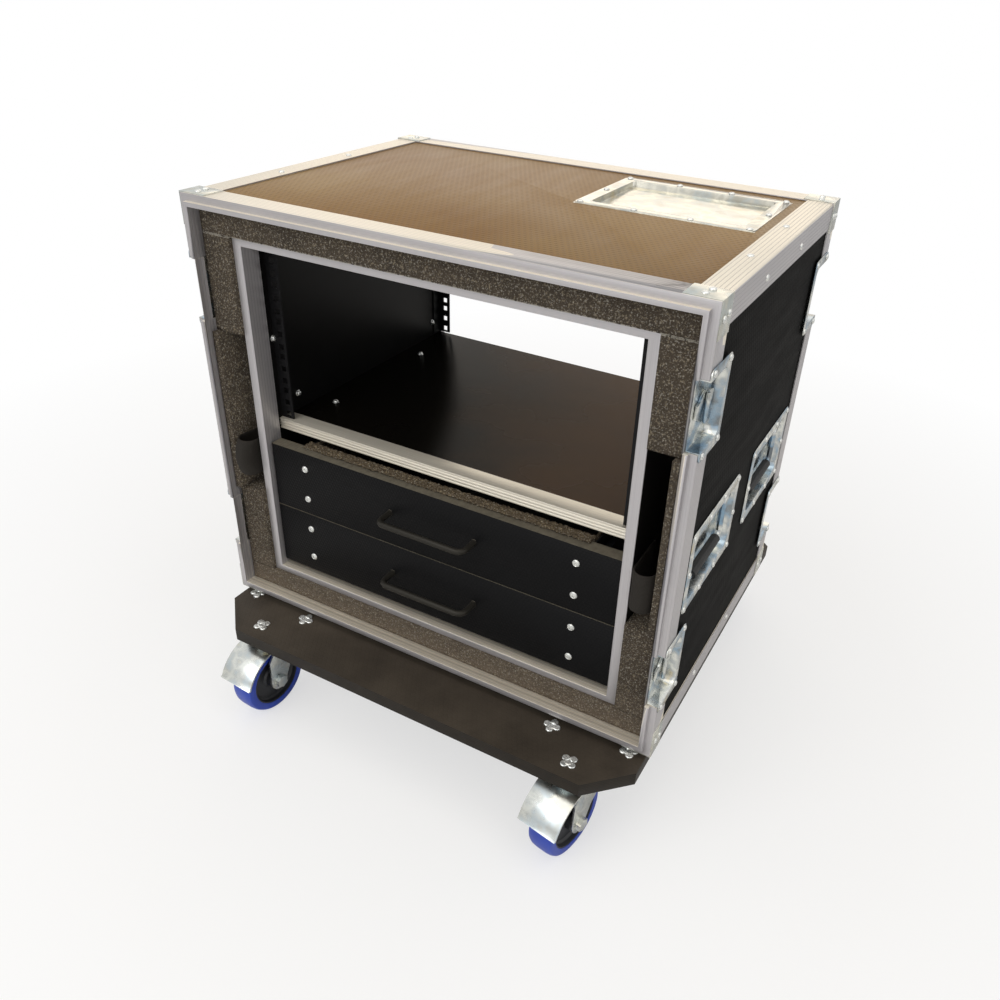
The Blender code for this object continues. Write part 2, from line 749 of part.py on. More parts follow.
def rim_brace(side, end, top):
    """Two thin plates over a corner of the rim, one on the side and one on the top or bottom."""
    level = CASE_TOP if top > 0 else CASE_BOTTOM
    plane = CASE_FRONT if end > 0 else CASE_BACK
    move = Matrix.Translation((0, plane, level)) @ Matrix.Diagonal((1, end, -top, 1))
    place = side_place(side) @ move
    long = RIM_FLANGE - CLEARANCE
    side_plate = box((-PRESSING, CLEARANCE, -PRESSING), (FUSE, long, BRACE_LEG))
    top_plate = box((-PRESSING, CLEARANCE, -PRESSING), (BRACE_LEG, long, FUSE))
    return placed(joined(side_plate, top_plate), place)


def make_rims():
    """The front and rear rims: an extrusion with a proud tongue, notched for four latch dishes."""
    profile = [
        (0, 0, 0),
        (RIM_STEP, RIM_STEP, 0),
        (RIM_STEP, RIM_STEP, -TONGUE_HEIGHT),
        (RIM_WIDTH, RIM_WIDTH, -TONGUE_HEIGHT),
        (RIM_WIDTH, RIM_WIDTH, RIM_CORE),
        (LIP_INSET + SKIN, LIP_INSET + SKIN, RIM_CORE),
        (LIP_INSET + SKIN, LIP_INSET + SKIN, RIM_LIP),
        (LIP_INSET, LIP_INSET, RIM_LIP),
        (LIP_INSET, LIP_INSET, RIM_CORE),
        (SKIN, SKIN, RIM_CORE),
        (SKIN, SKIN, RIM_FLANGE),
        (0, 0, RIM_FLANGE),
    ]
    for name, end in ENDS.items():
        plane = CASE_FRONT if end > 0 else CASE_BACK
        rim = mitred_frame(
            profile, (-HALF_WIDTH, CASE_BOTTOM), (HALF_WIDTH, CASE_TOP), plane, end
        )
        notches, braces = [], []
        for side in SIDES.values():
            for level in LATCH_LEVELS.values():
                notches.append(placed(rim_notch(), latch_place(side, end, level)))
            for top in (-1, 1):
                braces.append(rim_brace(side, end, top))
        steps = [("DIFFERENCE", merged(notches)), ("UNION", merged(braces))]
        node(f"{name}_rim", rim, "aluminium", steps)


def make_foam():
    """Foam glued round the sleeve, with a gap beside it for each lifting strap."""
    half = HALF_WIDTH - FOAM_INSET
    low = CASE_BOTTOM + FOAM_INSET
    high = CASE_TOP - FOAM_INSET
    inner = SLEEVE_HALF + CLEARANCE
    layer = HALF_WIDTH - LAYER_INSET
    bottom = SLEEVE_BOTTOM - CLEARANCE
    top = SLEEVE_TOP + CLEARANCE
    lower = SLEEVE_BOTTOM + FOAM_LOWER_BLOCK
    upper = SLEEVE_TOP - FOAM_UPPER_BLOCK
    hollow = [
        (-inner, bottom), (inner, bottom), (inner, lower), (layer, lower),
        (layer, upper), (inner, upper), (inner, top), (-inner, top),
        (-inner, upper), (-layer, upper), (-layer, lower), (-inner, lower),
    ]
    outer = rectangle((-half, low), (half, high))
    foam = prism("y", [outer, hollow], FOAM_FRONT, FOAM_BACK)
    pockets = []
    for side in SIDES.values():
        for end in ENDS.values():
            pockets.append(placed(handle_pocket(CLEARANCE), handle_place(side, end)))
            for level in LATCH_LEVELS.values():
                pockets.append(placed(latch_pocket(CLEARANCE), latch_place(side, end, level)))
    node("foam_lining", foam, "foam", [("DIFFERENCE", merged(pockets))])


def make_sleeve():
    """The plywood sleeve, with its rack rails, and the drawers' fixed runners on brackets."""
    start = SLEEVE_FRONT + TRIM_SHEET + CLEARANCE
    end = SLEEVE_BACK - TRIM_SHEET - CLEARANCE
    outer = rectangle((-SLEEVE_HALF, SLEEVE_BOTTOM), (SLEEVE_HALF, SLEEVE_TOP))
    inner = rectangle((-BAY_HALF, BAY_BOTTOM), (BAY_HALF, BAY_TOP))
    sleeve = prism("y", [outer, inner], start, end)
    fixtures = rack_rails()
    for bottom in (LOWER_DRAWER, UPPER_DRAWER):
        for side in SIDES.values():
            fixtures.append(fixed_runner(bottom, side))
    node("sleeve_box", sleeve, "sleeve_laminate", [("UNION", merged(fixtures))])

    for name, plane, inward, deep in (
        ("front", SLEEVE_FRONT, 1, FRONT_TRIM_RETURN),
        ("rear", SLEEVE_BACK, -1, REAR_TRIM_RETURN),
    ):
        side_lip = SLEEVE_SIDE_WALL + CLEARANCE
        top_lip = SLEEVE_TOP_WALL + CLEARANCE
        profile = [
            (0, 0, 0),
            (TRIM_SIDE_FACE, TRIM_TOP_FACE, 0),
            (TRIM_SIDE_FACE, TRIM_TOP_FACE, deep),
            (side_lip, top_lip, deep),
            (side_lip, top_lip, TRIM_SHEET),
            (0, 0, TRIM_SHEET),
        ]
        trim = mitred_frame(
            profile, (-SLEEVE_HALF, SLEEVE_BOTTOM), (SLEEVE_HALF, SLEEVE_TOP), plane, inward
        )
        node(f"sleeve_{name}_trim", trim, "aluminium")


def runner_levels(bottom):
    """Low and high edge of a drawer's runners, about the middle of its box."""
    box_low = bottom + DRAWER_BOX_BOTTOM_RISE
    box_high = bottom + DRAWER_FRONT_HEIGHT - DRAWER_BOX_TOP_DROP
    middle = (box_low + box_high) / 2
    return middle - RUNNER_HEIGHT / 2, middle + RUNNER_HEIGHT / 2


def fixed_runner(bottom, side):
    """A channel that holds the drawer's runner, on two brackets from the sleeve's wall."""
    low, high = runner_levels(bottom)
    inner = DRAWER_BOX_WIDTH / 2 + RUNNER_PLAY
    web = inner + RUNNER_THICKNESS + RUNNER_PLAY
    back = web + PRESSING
    lip = PRESSING + RUNNER_PLAY
    outline = [
        (inner, low - lip),
        (back, low - lip),
        (back, high + lip),
        (inner, high + lip),
        (inner, high + lip - PRESSING),
        (web, high + lip - PRESSING),
        (web, low - lip + PRESSING),
        (inner, low - lip + PRESSING),
    ]
    start = DRAWER_FACE_BACK + CLEARANCE
    end = start + DRAWER_BOX_DEPTH
    channel = prism("y", [outline], start, end)
    brackets = []
    for y in (start + BRACKET_INSET, end - BRACKET_INSET):
        brackets.append(
            box(
                (back - FUSE, y, low),
                (BAY_HALF + FUSE, y + BRACKET_THICKNESS, high),
            )
        )
    mirror = Matrix.Diagonal((side, 1, 1, 1))
    return placed(joined(channel, *brackets), mirror)


def rack_rails():
    """Four rack rails: a holed face, and a flange that is screwed to the sleeve's wall."""
    outer = BAY_HALF + FUSE
    half_hole = RAIL_HOLE / 2
    hole_x = RAIL_HOLE_SPACING / 2
    face = [rectangle((RAIL_HALF_OPENING, SHELF_TOP + CLEARANCE), (outer, RAIL_TOP - CLEARANCE))]
    for unit in range(RAIL_UNITS):
        for offset in HOLE_OFFSETS:
            z = SHELF_TOP + unit * RACK_UNIT + offset
            face.append(
                rectangle((hole_x - half_hole, z - half_hole), (hole_x + half_hole, z + half_hole))
            )
    rails = []
    for start, way in ((FRONT_RAIL_FACE, 1), (REAR_RAIL_FACE, -1)):
        near = start if way > 0 else start + RAIL_SHEET
        far = near + way * RAIL_DEPTH
        for side in SIDES.values():
            flange = box(
                (outer - RAIL_SHEET, min(near, far), SHELF_TOP + CLEARANCE),
                (outer, max(near, far), RAIL_TOP - CLEARANCE),
            )
            rail = joined(prism("y", face, start, start + RAIL_SHEET), flange)
            rails.append(placed(rail, Matrix.Diagonal((side, 1, 1, 1))))
    return rails


def make_shelf():
    """The shelf under the rack bay: a board behind a ribbed aluminium nose."""
    front = FRONT_RETURN + SHELF_SETBACK
    nose_back = front + SHELF_NOSE_DEPTH
    low = SHELF_TOP - SHELF_NOSE_HEIGHT
    back = REAR_RETURN - CLEARANCE
    drop = (SHELF_NOSE_HEIGHT - SHELF_BOARD) / 2
    face = []
    ribs = 3
    pitch = SHELF_NOSE_HEIGHT / (2 * ribs + 1)
    for rib in range(2 * ribs + 1):
        y = front if rib % 2 == 0 else front + NOSE_RIB
        face += [(y, low + rib * pitch), (y, low + (rib + 1) * pitch)]
    outline = face + [
        (nose_back, SHELF_TOP),
        (nose_back, SHELF_TOP - drop),
        (back, SHELF_TOP - drop),
        (back, low + drop),
        (nose_back, low + drop),
        (nose_back, low),
    ]
    half = BAY_HALF - CLEARANCE
    node("shelf", prism("x", [outline], -half, half), "sleeve_laminate")


def drawer_pull(bottom):
    """A bent rod with two posts that run into the drawer's front."""
    half = PULL_SPAN / 2
    z = bottom + PULL_HEIGHT
    out = DRAWER_FACE - PULL_REACH + PULL_ROD / 2
    inside = DRAWER_FACE + PULL_ROD / 2
    bend = PULL_BEND
    left = arc((-half + bend, out + bend), bend, math.pi, 1.5 * math.pi, 4)
    right = arc((half - bend, out + bend), bend, -0.5 * math.pi, 0, 4)
    path = [(-half, inside)] + left + right + [(half, inside)]
    return rod([(x, y, z) for x, y in path], PULL_ROD / 2)


def make_drawers():
    """Two drawers: a front with its pull, and an open box with runners on its sides."""
    half = DRAWER_WIDTH / 2
    for name, bottom in (("lower", LOWER_DRAWER), ("upper", UPPER_DRAWER)):
        pivot = (0, DRAWER_FACE, bottom)
        top = bottom + DRAWER_FRONT_HEIGHT
        front = box((-half, DRAWER_FACE, bottom), (half, DRAWER_FACE_BACK, top))
        front_node = node(
            f"{name}_drawer_front",
            front,
            "side_laminate",
            [("UNION", drawer_pull(bottom))],
            pivot=pivot,
        )
        wide = DRAWER_BOX_WIDTH / 2
        start = DRAWER_FACE_BACK + CLEARANCE
        end = start + DRAWER_BOX_DEPTH
        low = bottom + DRAWER_BOX_BOTTOM_RISE
        high = bottom + DRAWER_FRONT_HEIGHT - DRAWER_BOX_TOP_DROP
        wall = DRAWER_BOX_WALL
        outside = box((-wide, start, low), (wide, end, high))
        inside = box(
            (-wide + wall, start + wall, low + wall), (wide - wall, end - wall, high + OVERSHOOT)
        )
        runner_low, runner_high = runner_levels(bottom)
        runners = []
        for side in SIDES.values():
            outline = [
                (wide - FUSE, runner_low + PRESSING),
                (wide + RUNNER_PLAY + RUNNER_THICKNESS, runner_low + PRESSING),
                (wide + RUNNER_PLAY + RUNNER_THICKNESS, runner_high - PRESSING),
                (wide - FUSE, runner_high - PRESSING),
                (wide - FUSE, runner_high - RUNNER_LIP),
                (wide + RUNNER_THICKNESS / 2, runner_high - RUNNER_LIP),
                (wide + RUNNER_THICKNESS / 2, runner_low + RUNNER_LIP),
                (wide - FUSE, runner_low + RUNNER_LIP),
            ]
            runner = prism("y", [outline], start, end)
            runners.append(placed(runner, Matrix.Diagonal((side, 1, 1, 1))))
        node(
            f"{name}_drawer_box",
            outside,
            "black_steel",
            [("DIFFERENCE", inside), ("UNION", merged(runners))],
            pivot=pivot,
            parent=front_node,
        )


def make_straps():
    """A webbing loop on each side of the sleeve: one leg on its wall, one swung back beside it."""
    reach = (STRAP_LOOP + STRAP_THICKNESS) / 2
    slim = reach - STRAP_THICKNESS
    centre_x = SIDE_SPACE - CLEARANCE - reach
    centre_y = CASE_FRONT + STRAP_SETBACK
    back = centre_y + STRAP_LEG
    outline = arc((centre_x, centre_y), reach, math.pi, 2 * math.pi, 10)
    outline += [(centre_x + reach, back), (centre_x + slim, back)]
    outline += arc((centre_x, centre_y), slim, 2 * math.pi, math.pi, 10)
    outline += [(centre_x - slim, back), (centre_x - reach, back)]
    low = SLEEVE_BOTTOM + FOAM_LOWER_BLOCK + STRAP_ABOVE_FOAM
    for name, side in SIDES.items():
        strap = prism("z", [outline], low, low + STRAP_WIDTH)
        node(f"lift_strap_{name}", placed(strap, side_place(side)), "webbing")


def make_latches():
    """Eight butterfly latches: a dish, a cam with a hook that turns, and a wing that folds up."""
    cam_out = LATCH_SINK - CLEARANCE - CAM_THICKNESS
    barrel = cam_out - CLEARANCE - WING_BARREL
    for end_name, end in ENDS.items():
        for name, side in SIDES.items():
            for level_name, level in LATCH_LEVELS.items():
                place = latch_place(side, end, level)
                label = f"latch_{end_name}_{name}_{level_name}"
                dish = placed(latch_dish(), place)
                node(f"{label}_dish", dish, "zinc", [("DIFFERENCE", placed(latch_recess(), place))])
                centre = place @ Vector((LATCH_SINK, LATCH_CENTRE, 0))
                disc = cylinder(
                    (cam_out, LATCH_CENTRE, 0),
                    (LATCH_SINK - CLEARANCE, LATCH_CENTRE, 0),
                    CAM_RADIUS,
                )
                hook = prism("x", [hook_outline()], cam_out, LATCH_SINK - CLEARANCE - FUSE)
                cam = node(
                    f"{label}_cam",
                    placed(disc, place),
                    "zinc",
                    [("UNION", placed(hook, place))],
                    pivot=centre,
                )
                shape = placed(wing_shape(barrel), place)
                hinge = place @ Vector((barrel, LATCH_CENTRE, 0))
                node(f"{label}_wing", shape, "zinc", pivot=hinge, parent=cam)


def hook_outline():
    """A lug on the cam that pulls the lid's keeper in, as (depth, height)."""
    tip = LATCH_CENTRE - CAM_RADIUS - HOOK_REACH
    half = HOOK_WIDTH / 2
    return [
        (tip, -half * 0.7),
        (LATCH_CENTRE - CAM_RADIUS * 0.5, -half),
        (LATCH_CENTRE - CAM_RADIUS * 0.5, half),
        (tip, half * 0.7),
    ]


def wing_shape(barrel):
    """A wing with two lobes, hinged along its straight side on a barrel."""
    half = WING_LENGTH / 2
    waist = WING_REACH * 0.62
    lobe = half * 0.5
    lean = math.radians(18)
    outline = [(0.0, -half), (0.0, half)]
    for sign in (1, -1):
        rounded = arc((WING_REACH - lobe, sign * (half - lobe)), lobe, lean, math.pi / 2 - lean, 3)
        middle = sign * (half - lobe)
        points = [(across, middle + (up - middle) * sign) for across, up in rounded]
        outline += points[::-1] if sign > 0 else [(waist, 0.0)] + points
    shape = prism(
        "x",
        [[(LATCH_CENTRE + across, up) for across, up in outline]],
        barrel - WING_THICKNESS / 2,
        barrel + WING_THICKNESS / 2,
    )
    pin = cylinder(
        (barrel, LATCH_CENTRE, -half * 0.9), (barrel, LATCH_CENTRE, half * 0.9), WING_BARREL, steps=12
    )
    return joined(shape, pin)


def make_handles():
    """Four handles: a dish, and a bail of bent rod in its side walls with a rubber grip."""
    stub = HANDLE_RECESS_LENGTH / 2 - CLEARANCE
    half = BAIL_SPAN / 2
    axis_up = HANDLE_RECESS_HEIGHT / 2 - BAIL_PIVOT_DROP
    sink = BAIL_PIVOT_SINK
    bend = BAIL_BEND
    low = axis_up - BAIL_DROP
    left = arc((-half + bend, low + bend), bend, math.pi, 1.5 * math.pi, 4)
    right = arc((half - bend, low + bend), bend, -0.5 * math.pi, 0, 4)
    path = [(-stub, axis_up), (-half - bend, axis_up)]
    path += arc((-half - bend, axis_up - bend), bend, math.pi / 2, 0, 4)[1:]
    path += left + right
    path += arc((half + bend, axis_up - bend), bend, math.pi, math.pi / 2, 4)
    path += [(stub, axis_up)]
    for end_name, end in ENDS.items():
        for name, side in SIDES.items():
            place = handle_place(side, end)
            recess = placed(handle_recess(), place)
            dish = placed(handle_dish(), place)
            node(f"handle_dish_{end_name}_{name}", dish, "zinc", [("DIFFERENCE", recess)])
            bail = rod([(sink, along, up) for along, up in path], BAIL_ROD / 2)
            grip = rod(
                [(sink, -GRIP_LENGTH / 2, low), (sink, GRIP_LENGTH / 2, low)], GRIP_DIAMETER / 2, 3
            )
            pivot = place @ Vector((sink, 0, axis_up))
            obj = node(
                f"handle_bail_{end_name}_{name}",
                placed(bail, place),
                "grip_rubber",
                [("UNION", placed(grip, place))],
                pivot=pivot,
            )
            shade_round(obj)


def make_board():
    """The caster board, with the plates and upper races of the four casters under it."""
    half_x = BOARD_WIDTH / 2
    half_y = BOARD_DEPTH / 2
    cut = BOARD_CHAMFER
    outline = [
        (-half_x + cut, -half_y),
        (half_x - cut, -half_y),
        (half_x, -half_y + cut),
        (half_x, half_y - cut),
        (half_x - cut, half_y),
        (-half_x + cut, half_y),
        (-half_x, half_y - cut),
        (-half_x, -half_y + cut),
    ]
    board = prism("z", [outline], CASTER_HEIGHT, BOARD_TOP)
    plates = []
    for along in (-1, 1):
        for across in (-1, 1):
            x = across * SWIVEL_X
            y = along * SWIVEL_Y
            half_length = CASTER_PLATE_LENGTH / 2
            half_width = CASTER_PLATE_WIDTH / 2
            low = (-half_length, -half_width)
            outline = rectangle(low, (half_length, half_width), CASTER_PLATE_CORNER)
            plate = prism("z", [outline], PLATE_BOTTOM, CASTER_HEIGHT + FUSE)
            turn = Matrix.Rotation(-across * along * math.pi / 4, 4, "Z")
            plate = placed(plate, Matrix.Translation((x, y, 0)) @ turn)
            race = cylinder(
                (x, y, UPPER_RACE_BOTTOM), (x, y, PLATE_BOTTOM + FUSE), RACE_RADIUS, RACE_RADIUS * 0.9, 28
            )
            plates.append(joined(plate, race))
    node("caster_board", board, "board_laminate", [("UNION", merged(plates))])


def fork_shapes():
    """A pressed fork: crown, lower race, two tapered cheeks and the axle bolt through them."""
    trail = -AXLE_TRAIL
    outside = FORK_INSIDE + FORK_SHEET
    crown_half = outside + FORK_SHEET / 2
    top_half = FORK_TOP_LENGTH / 2
    cheek_top = CROWN_TOP - FORK_SHEET / 2
    crown = prism(
        "z",
        [rectangle((-crown_half, trail - 2 * FUSE), (crown_half, top_half), FORK_CORNER)],
        CROWN_BOTTOM,
        CROWN_TOP,
    )
    race = cylinder((0, 0, CROWN_TOP - FUSE), (0, 0, LOWER_RACE_TOP), RACE_RADIUS * 0.92, RACE_RADIUS, 28)
    cheek = [(top_half - FORK_CHEEK_INSET, cheek_top)]
    cheek += [(trail + FUSE, cheek_top), (trail - FORK_EYE * 0.9, CROWN_BOTTOM - FORK_SHOULDER)]
    cheek += arc((trail, AXLE_HEIGHT), FORK_EYE, math.pi, 2 * math.pi, 8)
    cheek += [(trail + FORK_EYE * 1.5, AXLE_HEIGHT + FORK_EYE)]
    cheeks = []
    for sign in (-1, 1):
        cheeks.append(prism("x", [cheek], sign * FORK_INSIDE, sign * outside))
    bolt_end = outside + NUT_HEIGHT / 2
    bolt = cylinder(
        (-bolt_end, trail, AXLE_HEIGHT), (bolt_end, trail, AXLE_HEIGHT), AXLE_RADIUS, steps=16
    )
    nuts = []
    for sign in (-1, 1):
        nuts.append(
            cylinder(
                (sign * (outside - FUSE), trail, AXLE_HEIGHT),
                (sign * (outside + NUT_HEIGHT), trail, AXLE_HEIGHT),
                NUT_RADIUS,
                steps=6,
            )
        )
    return crown, [race, merged(cheeks), merged(nuts), bolt]


def wheel_shape():
    """A tyre and hub, turned about the axle."""
    half = WHEEL_WIDTH / 2
    hub = HUB_WIDTH / 2
    web = WEB_WIDTH / 2
    rim_inside = WHEEL_RADIUS - TYRE_DEPTH
    bore = AXLE_RADIUS + AXLE_PLAY
    shoulder = TYRE_SHOULDER
    quarter = math.pi / 2
    upper = [
        (bore, hub),
        (HUB_RADIUS, hub),
        (HUB_RADIUS, web),
        (rim_inside - WEB_SLOPE, web),
        (rim_inside, half - TYRE_SET_IN),
    ]
    turns = arc((WHEEL_RADIUS - shoulder, half - shoulder), shoulder, quarter, 0, 3)
    profile = upper + turns
    mirrored = [(radius, -height) for radius, height in reversed(profile)]
    shape = screw_solid(profile + mirrored, 26)
    return placed(shape, Matrix.Rotation(math.pi / 2, 4, "Y"))


def pedal_shapes():
    """A pressed pedal that arches over the wheel from its hinge barrel, with a turned-out lip."""
    trail = -AXLE_TRAIL
    outer = PEDAL_INNER + PEDAL_SHEET
    start = math.pi / 2
    end = math.pi - PEDAL_END_ANGLE
    outline = arc((trail, AXLE_HEIGHT), PEDAL_INNER, start, end, 9)
    tip = arc((trail, AXLE_HEIGHT), PEDAL_INNER + PEDAL_LIP, end, end, 1)[0]
    outline += [tip]
    outline += arc((trail, AXLE_HEIGHT), outer, end - math.radians(3), start, 9)
    arch = prism("x", [outline], -PEDAL_WIDTH / 2, PEDAL_WIDTH / 2)
    barrel = cylinder(
        (-PEDAL_WIDTH * 0.42, trail, PEDAL_HINGE_HEIGHT),
        (PEDAL_WIDTH * 0.42, trail, PEDAL_HINGE_HEIGHT),
        PEDAL_BARREL,
        steps=14,
    )
    return arch, [barrel]


def make_casters():
    """Four swivel casters. The front ones have a brake pedal."""
    headings = {
        ("front", "left"): FRONT_LEFT_HEADING,
        ("front", "right"): FRONT_RIGHT_HEADING,
        ("rear", "left"): FRONT_RIGHT_HEADING + math.pi,
        ("rear", "right"): FRONT_LEFT_HEADING + math.pi,
    }
    for (end_name, name), heading in headings.items():
        x = SIDES[name] * SWIVEL_X
        y = -ENDS[end_name] * SWIVEL_Y
        place = Matrix.Translation((x, y, 0)) @ Matrix.Rotation(heading, 4, "Z")
        crown, tools = fork_shapes()
        fork = node(
            f"caster_fork_{end_name}_{name}",
            placed(crown, place),
            "zinc",
            [("UNION", placed(tool, place)) for tool in tools],
            pivot=(x, y, LOWER_RACE_TOP),
        )
        hub = place @ Vector((0, -AXLE_TRAIL, AXLE_HEIGHT))
        to_axle = place @ Matrix.Translation((0, -AXLE_TRAIL, AXLE_HEIGHT))
        wheel = node(
            f"caster_wheel_{end_name}_{name}",
            placed(wheel_shape(), to_axle),
            "tyre_blue",
            pivot=hub,
            parent=fork,
        )
        shade_round(wheel)
        if end_name == "front":
            arch, tools = pedal_shapes()
            hinge = place @ Vector((0, -AXLE_TRAIL, PEDAL_HINGE_HEIGHT))
            node(
                f"brake_pedal_{name}",
                placed(arch, place),
                "zinc",
                [("UNION", placed(tool, place)) for tool in tools],
                pivot=hinge,
                parent=fork,
            )


make_panels()
make_rims()
make_foam()
make_sleeve()
make_shelf()
make_drawers()
make_straps()
make_latches()
make_handles()
make_board()
make_casters()
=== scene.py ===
import json
import math

import bmesh
import bpy
from mathutils import Matrix, Vector

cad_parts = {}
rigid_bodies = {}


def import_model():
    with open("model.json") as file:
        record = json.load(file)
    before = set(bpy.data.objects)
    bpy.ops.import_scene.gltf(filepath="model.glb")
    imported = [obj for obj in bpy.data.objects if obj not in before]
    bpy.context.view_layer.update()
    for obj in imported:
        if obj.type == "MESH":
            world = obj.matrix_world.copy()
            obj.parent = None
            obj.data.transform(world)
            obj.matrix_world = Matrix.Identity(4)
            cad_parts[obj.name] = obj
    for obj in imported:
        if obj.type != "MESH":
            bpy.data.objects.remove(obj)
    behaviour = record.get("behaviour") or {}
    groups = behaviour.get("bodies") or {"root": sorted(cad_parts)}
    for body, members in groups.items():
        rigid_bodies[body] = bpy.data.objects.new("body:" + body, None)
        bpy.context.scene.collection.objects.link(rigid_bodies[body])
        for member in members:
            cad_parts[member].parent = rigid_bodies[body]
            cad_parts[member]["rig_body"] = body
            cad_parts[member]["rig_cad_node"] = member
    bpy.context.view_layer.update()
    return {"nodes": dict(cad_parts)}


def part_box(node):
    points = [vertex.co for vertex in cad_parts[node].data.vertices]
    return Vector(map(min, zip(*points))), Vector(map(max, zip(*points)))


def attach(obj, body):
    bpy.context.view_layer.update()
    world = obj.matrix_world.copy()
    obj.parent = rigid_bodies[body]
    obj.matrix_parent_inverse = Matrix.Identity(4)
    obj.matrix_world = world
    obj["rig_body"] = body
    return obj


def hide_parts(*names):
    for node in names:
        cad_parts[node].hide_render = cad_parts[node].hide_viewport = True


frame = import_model()
nodes = frame["nodes"]
print("frame loaded")

camera = {
    "place": (0.4985, -0.9389, 0.9235),
    "azimuth": 27.86,
    "elevation": 32.31,
    "roll": 2.39,
    "lens": 32.14,
    "shift": (-0.0207, 0.0087),
}


def addCamera():
    azimuth = math.radians(camera["azimuth"])
    elevation = math.radians(camera["elevation"])
    roll = math.radians(camera["roll"])
    forward = -Vector((
        math.sin(azimuth) * math.cos(elevation),
        -math.cos(azimuth) * math.cos(elevation),
        math.sin(elevation),
    ))
    right = forward.cross(Vector((0, 0, 1))).normalized()
    up = right.cross(forward)
    across = math.cos(roll) * right + math.sin(roll) * up
    above = -math.sin(roll) * right + math.cos(roll) * up
    turn = Matrix((across, above, -forward)).transposed().to_4x4()
    data = bpy.data.cameras.new("photoCamera")
    data.lens = camera["lens"]
    data.sensor_width = 36
    data.shift_x, data.shift_y = camera["shift"]
    eye = bpy.data.objects.new("photoCamera", data)
    eye.matrix_world = Matrix.Translation(camera["place"]) @ turn
    bpy.context.scene.collection.objects.link(eye)
    bpy.context.scene.camera = eye


addCamera()
print("camera placed")

# Places of the case that several pieces share
case = {
    "half": 0.3065,
    "front": -0.23925,
    "back": 0.19475,
    "bottom": 0.150,
    "top": 0.683,
    "latchLevels": (0.262, 0.576),
    "handleLevel": 0.379,
    "handleRows": (-0.12525, 0.08075),
    "label": (0.1605, 0.06825),
    "labelHalf": (0.1041, 0.0776),
    "drawers": {"lower": 0.2076, "upper": 0.2965},
    "drawerFace": -0.21795,
}


def tone(red, green, blue):
    # a screen colour in the linear values that a shader takes
    shares = [value / 255 for value in (red, green, blue)]
    return tuple(
        share / 12.92 if share < 0.04 else ((share + 0.055) / 1.055) ** 2.4
        for share in shares
    ) + (1.0,)


class Wire:
    # one output socket, which plain sums turn into Math nodes
    def __init__(self, tree, socket):
        self.tree = tree
        self.socket = socket

    def __add__(self, other):
        return mathNode(self.tree, "ADD", self, other)

    def __sub__(self, other):
        return mathNode(self.tree, "SUBTRACT", self, other)

    def __rsub__(self, other):
        return mathNode(self.tree, "SUBTRACT", other, self)

    def __mul__(self, other):
        return mathNode(self.tree, "MULTIPLY", self, other)

    def __truediv__(self, other):
        return mathNode(self.tree, "DIVIDE", self, other)

    def __pow__(self, other):
        return mathNode(self.tree, "POWER", self, other)

    def __abs__(self):
        return mathNode(self.tree, "ABSOLUTE", self)

    def __gt__(self, other):
        return mathNode(self.tree, "GREATER_THAN", self, other)

    def __lt__(self, other):
        return mathNode(self.tree, "LESS_THAN", self, other)

    __radd__ = __add__
    __rmul__ = __mul__

    def least(self, other):
        return mathNode(self.tree, "MINIMUM", self, other)

    def most(self, other):
        return mathNode(self.tree, "MAXIMUM", self, other)

    def fraction(self):
        return mathNode(self.tree, "FRACT", self)

    def limited(self):
        return mathNode(self.tree, "MINIMUM", mathNode(self.tree, "MAXIMUM", self, 0.0), 1.0)


def addNode(tree, kind, settings=None, values=None, output=0):
    # settings come first, then the values or links of the sockets
    node = tree.nodes.new(kind)
    for name, value in (settings or {}).items():
        if name == "stops":
            while len(node.color_ramp.elements) < len(value):
                node.color_ramp.elements.new(0.5)
            for stop, (place, shade) in zip(node.color_ramp.elements, value):
                stop.position = place
                stop.color = shade
        else:
            setattr(node, name, value)
    for key, value in (values or {}).items():
        if isinstance(value, Wire):
            tree.links.new(value.socket, node.inputs[key])
        else:
            node.inputs[key].default_value = value
    return Wire(tree, node.outputs[output]) if node.outputs else node


def mathNode(tree, operation, first, second=0.0):
    return addNode(tree, "ShaderNodeMath", {"operation": operation}, {0: first, 1: second})


